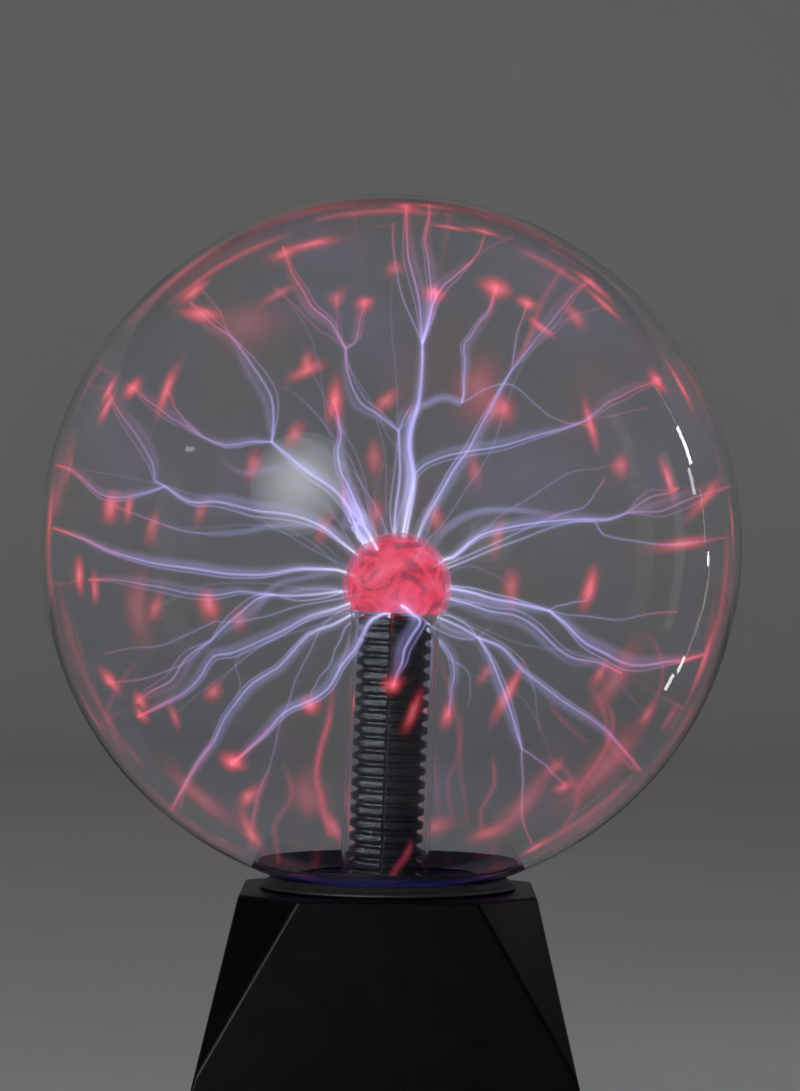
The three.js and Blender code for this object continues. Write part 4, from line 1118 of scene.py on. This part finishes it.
def area_light(name, place, size, radiance, colour=(1, 1, 1), shape="RECTANGLE"):
    """A lamp that faces the globe and isn't seen itself. Its power follows from how bright it looks."""
    data = bpy.data.lights.new(name, "AREA")
    data.shape = shape
    data.size, data.size_y = size
    area = size[0] * size[1] * (math.pi / 4 if shape == "ELLIPSE" else 1)
    data.energy = radiance * math.pi * area
    data.color = colour
    made = make_object(name, data)
    made.location = place
    made.rotation_euler = (GLOBE_CENTRE - Vector(place)).to_track_quat("-Z", "Y").to_euler()
    made.visible_camera = False
    made.visible_transmission = False
    return made


def around(azimuth, elevation, distance):
    """A place by its direction from the globe's middle. Azimuth 0 is the camera's side, 90 the right."""
    turn, rise = math.radians(azimuth), math.radians(elevation)
    out = Vector((math.sin(turn) * math.cos(rise), -math.cos(turn) * math.cos(rise), math.sin(rise)))
    return GLOBE_CENTRE + out * distance


def mirrored(x, z):
    """The place of a pane that the globe mirrors to the camera at (x, z), in globe radii from its middle."""
    normal = Vector((x, -math.sqrt(1 - x * x - z * z), z))
    out = Vector((0, 1, 0)).reflect(normal)
    return GLOBE_CENTRE + normal * GLOBE_RADIUS + out * WINDOW_DISTANCE


def lights():
    world = bpy.data.worlds.new("world")
    bpy.context.scene.world = world
    world.use_nodes = True
    background = world.node_tree.nodes["Background"]
    background.inputs["Color"].default_value = (0.97, 1.0, 0.98, 1)
    background.inputs["Strength"].default_value = 0.03
    for name, place, size, radiance in (("overhead", (0, 0, 3.2), (3.5, 3.5), 0.06),
                                        ("fill", (-1.3, -2.3, 2.4), (3.5, 2), 2)):
        made = area_light(name, place, size, radiance, (0.98, 1.0, 0.99))
        made.visible_glossy = False
    for x, z, width, height, radiance in WINDOWS:
        made = area_light("window", mirrored(x, z), (width, height), WINDOW_GAIN * radiance)
        made.visible_diffuse = False
    for azimuth, elevation, layers, radiance in LAMPS:
        for i in range(layers):  # each wider than the last, so that the edge fades
            width = 0.1 + 0.1 * i
            place = around(azimuth, elevation, 1.2 + 0.01 * i)
            made = area_light("lamp", place, (width, width), radiance, (0.9, 0.95, 1.0), "ELLIPSE")
            made.visible_diffuse = False
    panel = area_light("panel", around(-50, 2, 0.6), (1.3, 0.7), 5, (0.8, 0.93, 1.0))
    receivers = bpy.data.collections.new("lit by the panel")
    receivers.objects.link(bpy.data.objects["ribbed_sleeve"])
    panel.light_linking.receiver_collection = receivers
    panel.data.cycles.use_multiple_importance_sampling = False
    glow = bpy.data.lights.new("plasma_glow", "POINT")
    glow.energy = GLOW_ENERGY
    glow.color = (0.55, 0.35, 1.0)
    glow.shadow_soft_size = 0.02
    lamp = make_object("plasma_glow", glow)
    lamp.location = BULB_CENTRE + Vector((0, 0, 0.035))
    lamp.visible_camera = False
    lamp.visible_transmission = False
    lamp.visible_glossy = False


def render_settings():
    scene = bpy.context.scene
    scene.view_settings.view_transform = "Standard"
    scene.view_settings.look = "None"
    scene.cycles.transparent_max_bounces = 96
    scene.cycles.max_bounces = 24
    scene.cycles.transmission_bounces = 20


CARRIED = {
    "black_plastic": satin_plastic,
    "black_nylon": black_nylon,
    "clear_glass": stem_glass,
    "steel": zinc_steel,
    "circuit_board": circuit_green,
    "ferrite": ferrite,
    "potting": red_resin,
    "copper": copper_wire,
    "white_silicone": silicone,
    "aluminium": aluminium,
    "black_wire": black_insulation,
    "red_wire": red_insulation,
}
BLOCKS = {"bottom_cover": 0.6, "switch_body": 0.5, "switch_rocker": 0.5, "dc_jack": 0.3, "heat_sink": 0.2,
          "power_transistor": 0.2, "flyback_core": 0.4, "timer_chip": 0.15, "circuit_board": 0.15}


def carried_nodes():
    """The CAD's own meshes that stay: a material by the CAD's slot, and softer edges on the blocks."""
    for name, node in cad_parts.items():
        slot = node.data.materials[0].name.split(".")[0]
        if slot in CARRIED:
            node.data.materials[0] = CARRIED[slot]
        if name in BLOCKS:
            soften(node, BLOCKS[name] * MM)


carried_nodes()
base_housing()
globe_collar()
rubber_feet()
globe()
blackout_coat()
stem()
electrode()
ribbed_sleeve()
plasma_pieces()

camera()
cyclorama()
lights()
render_settings()
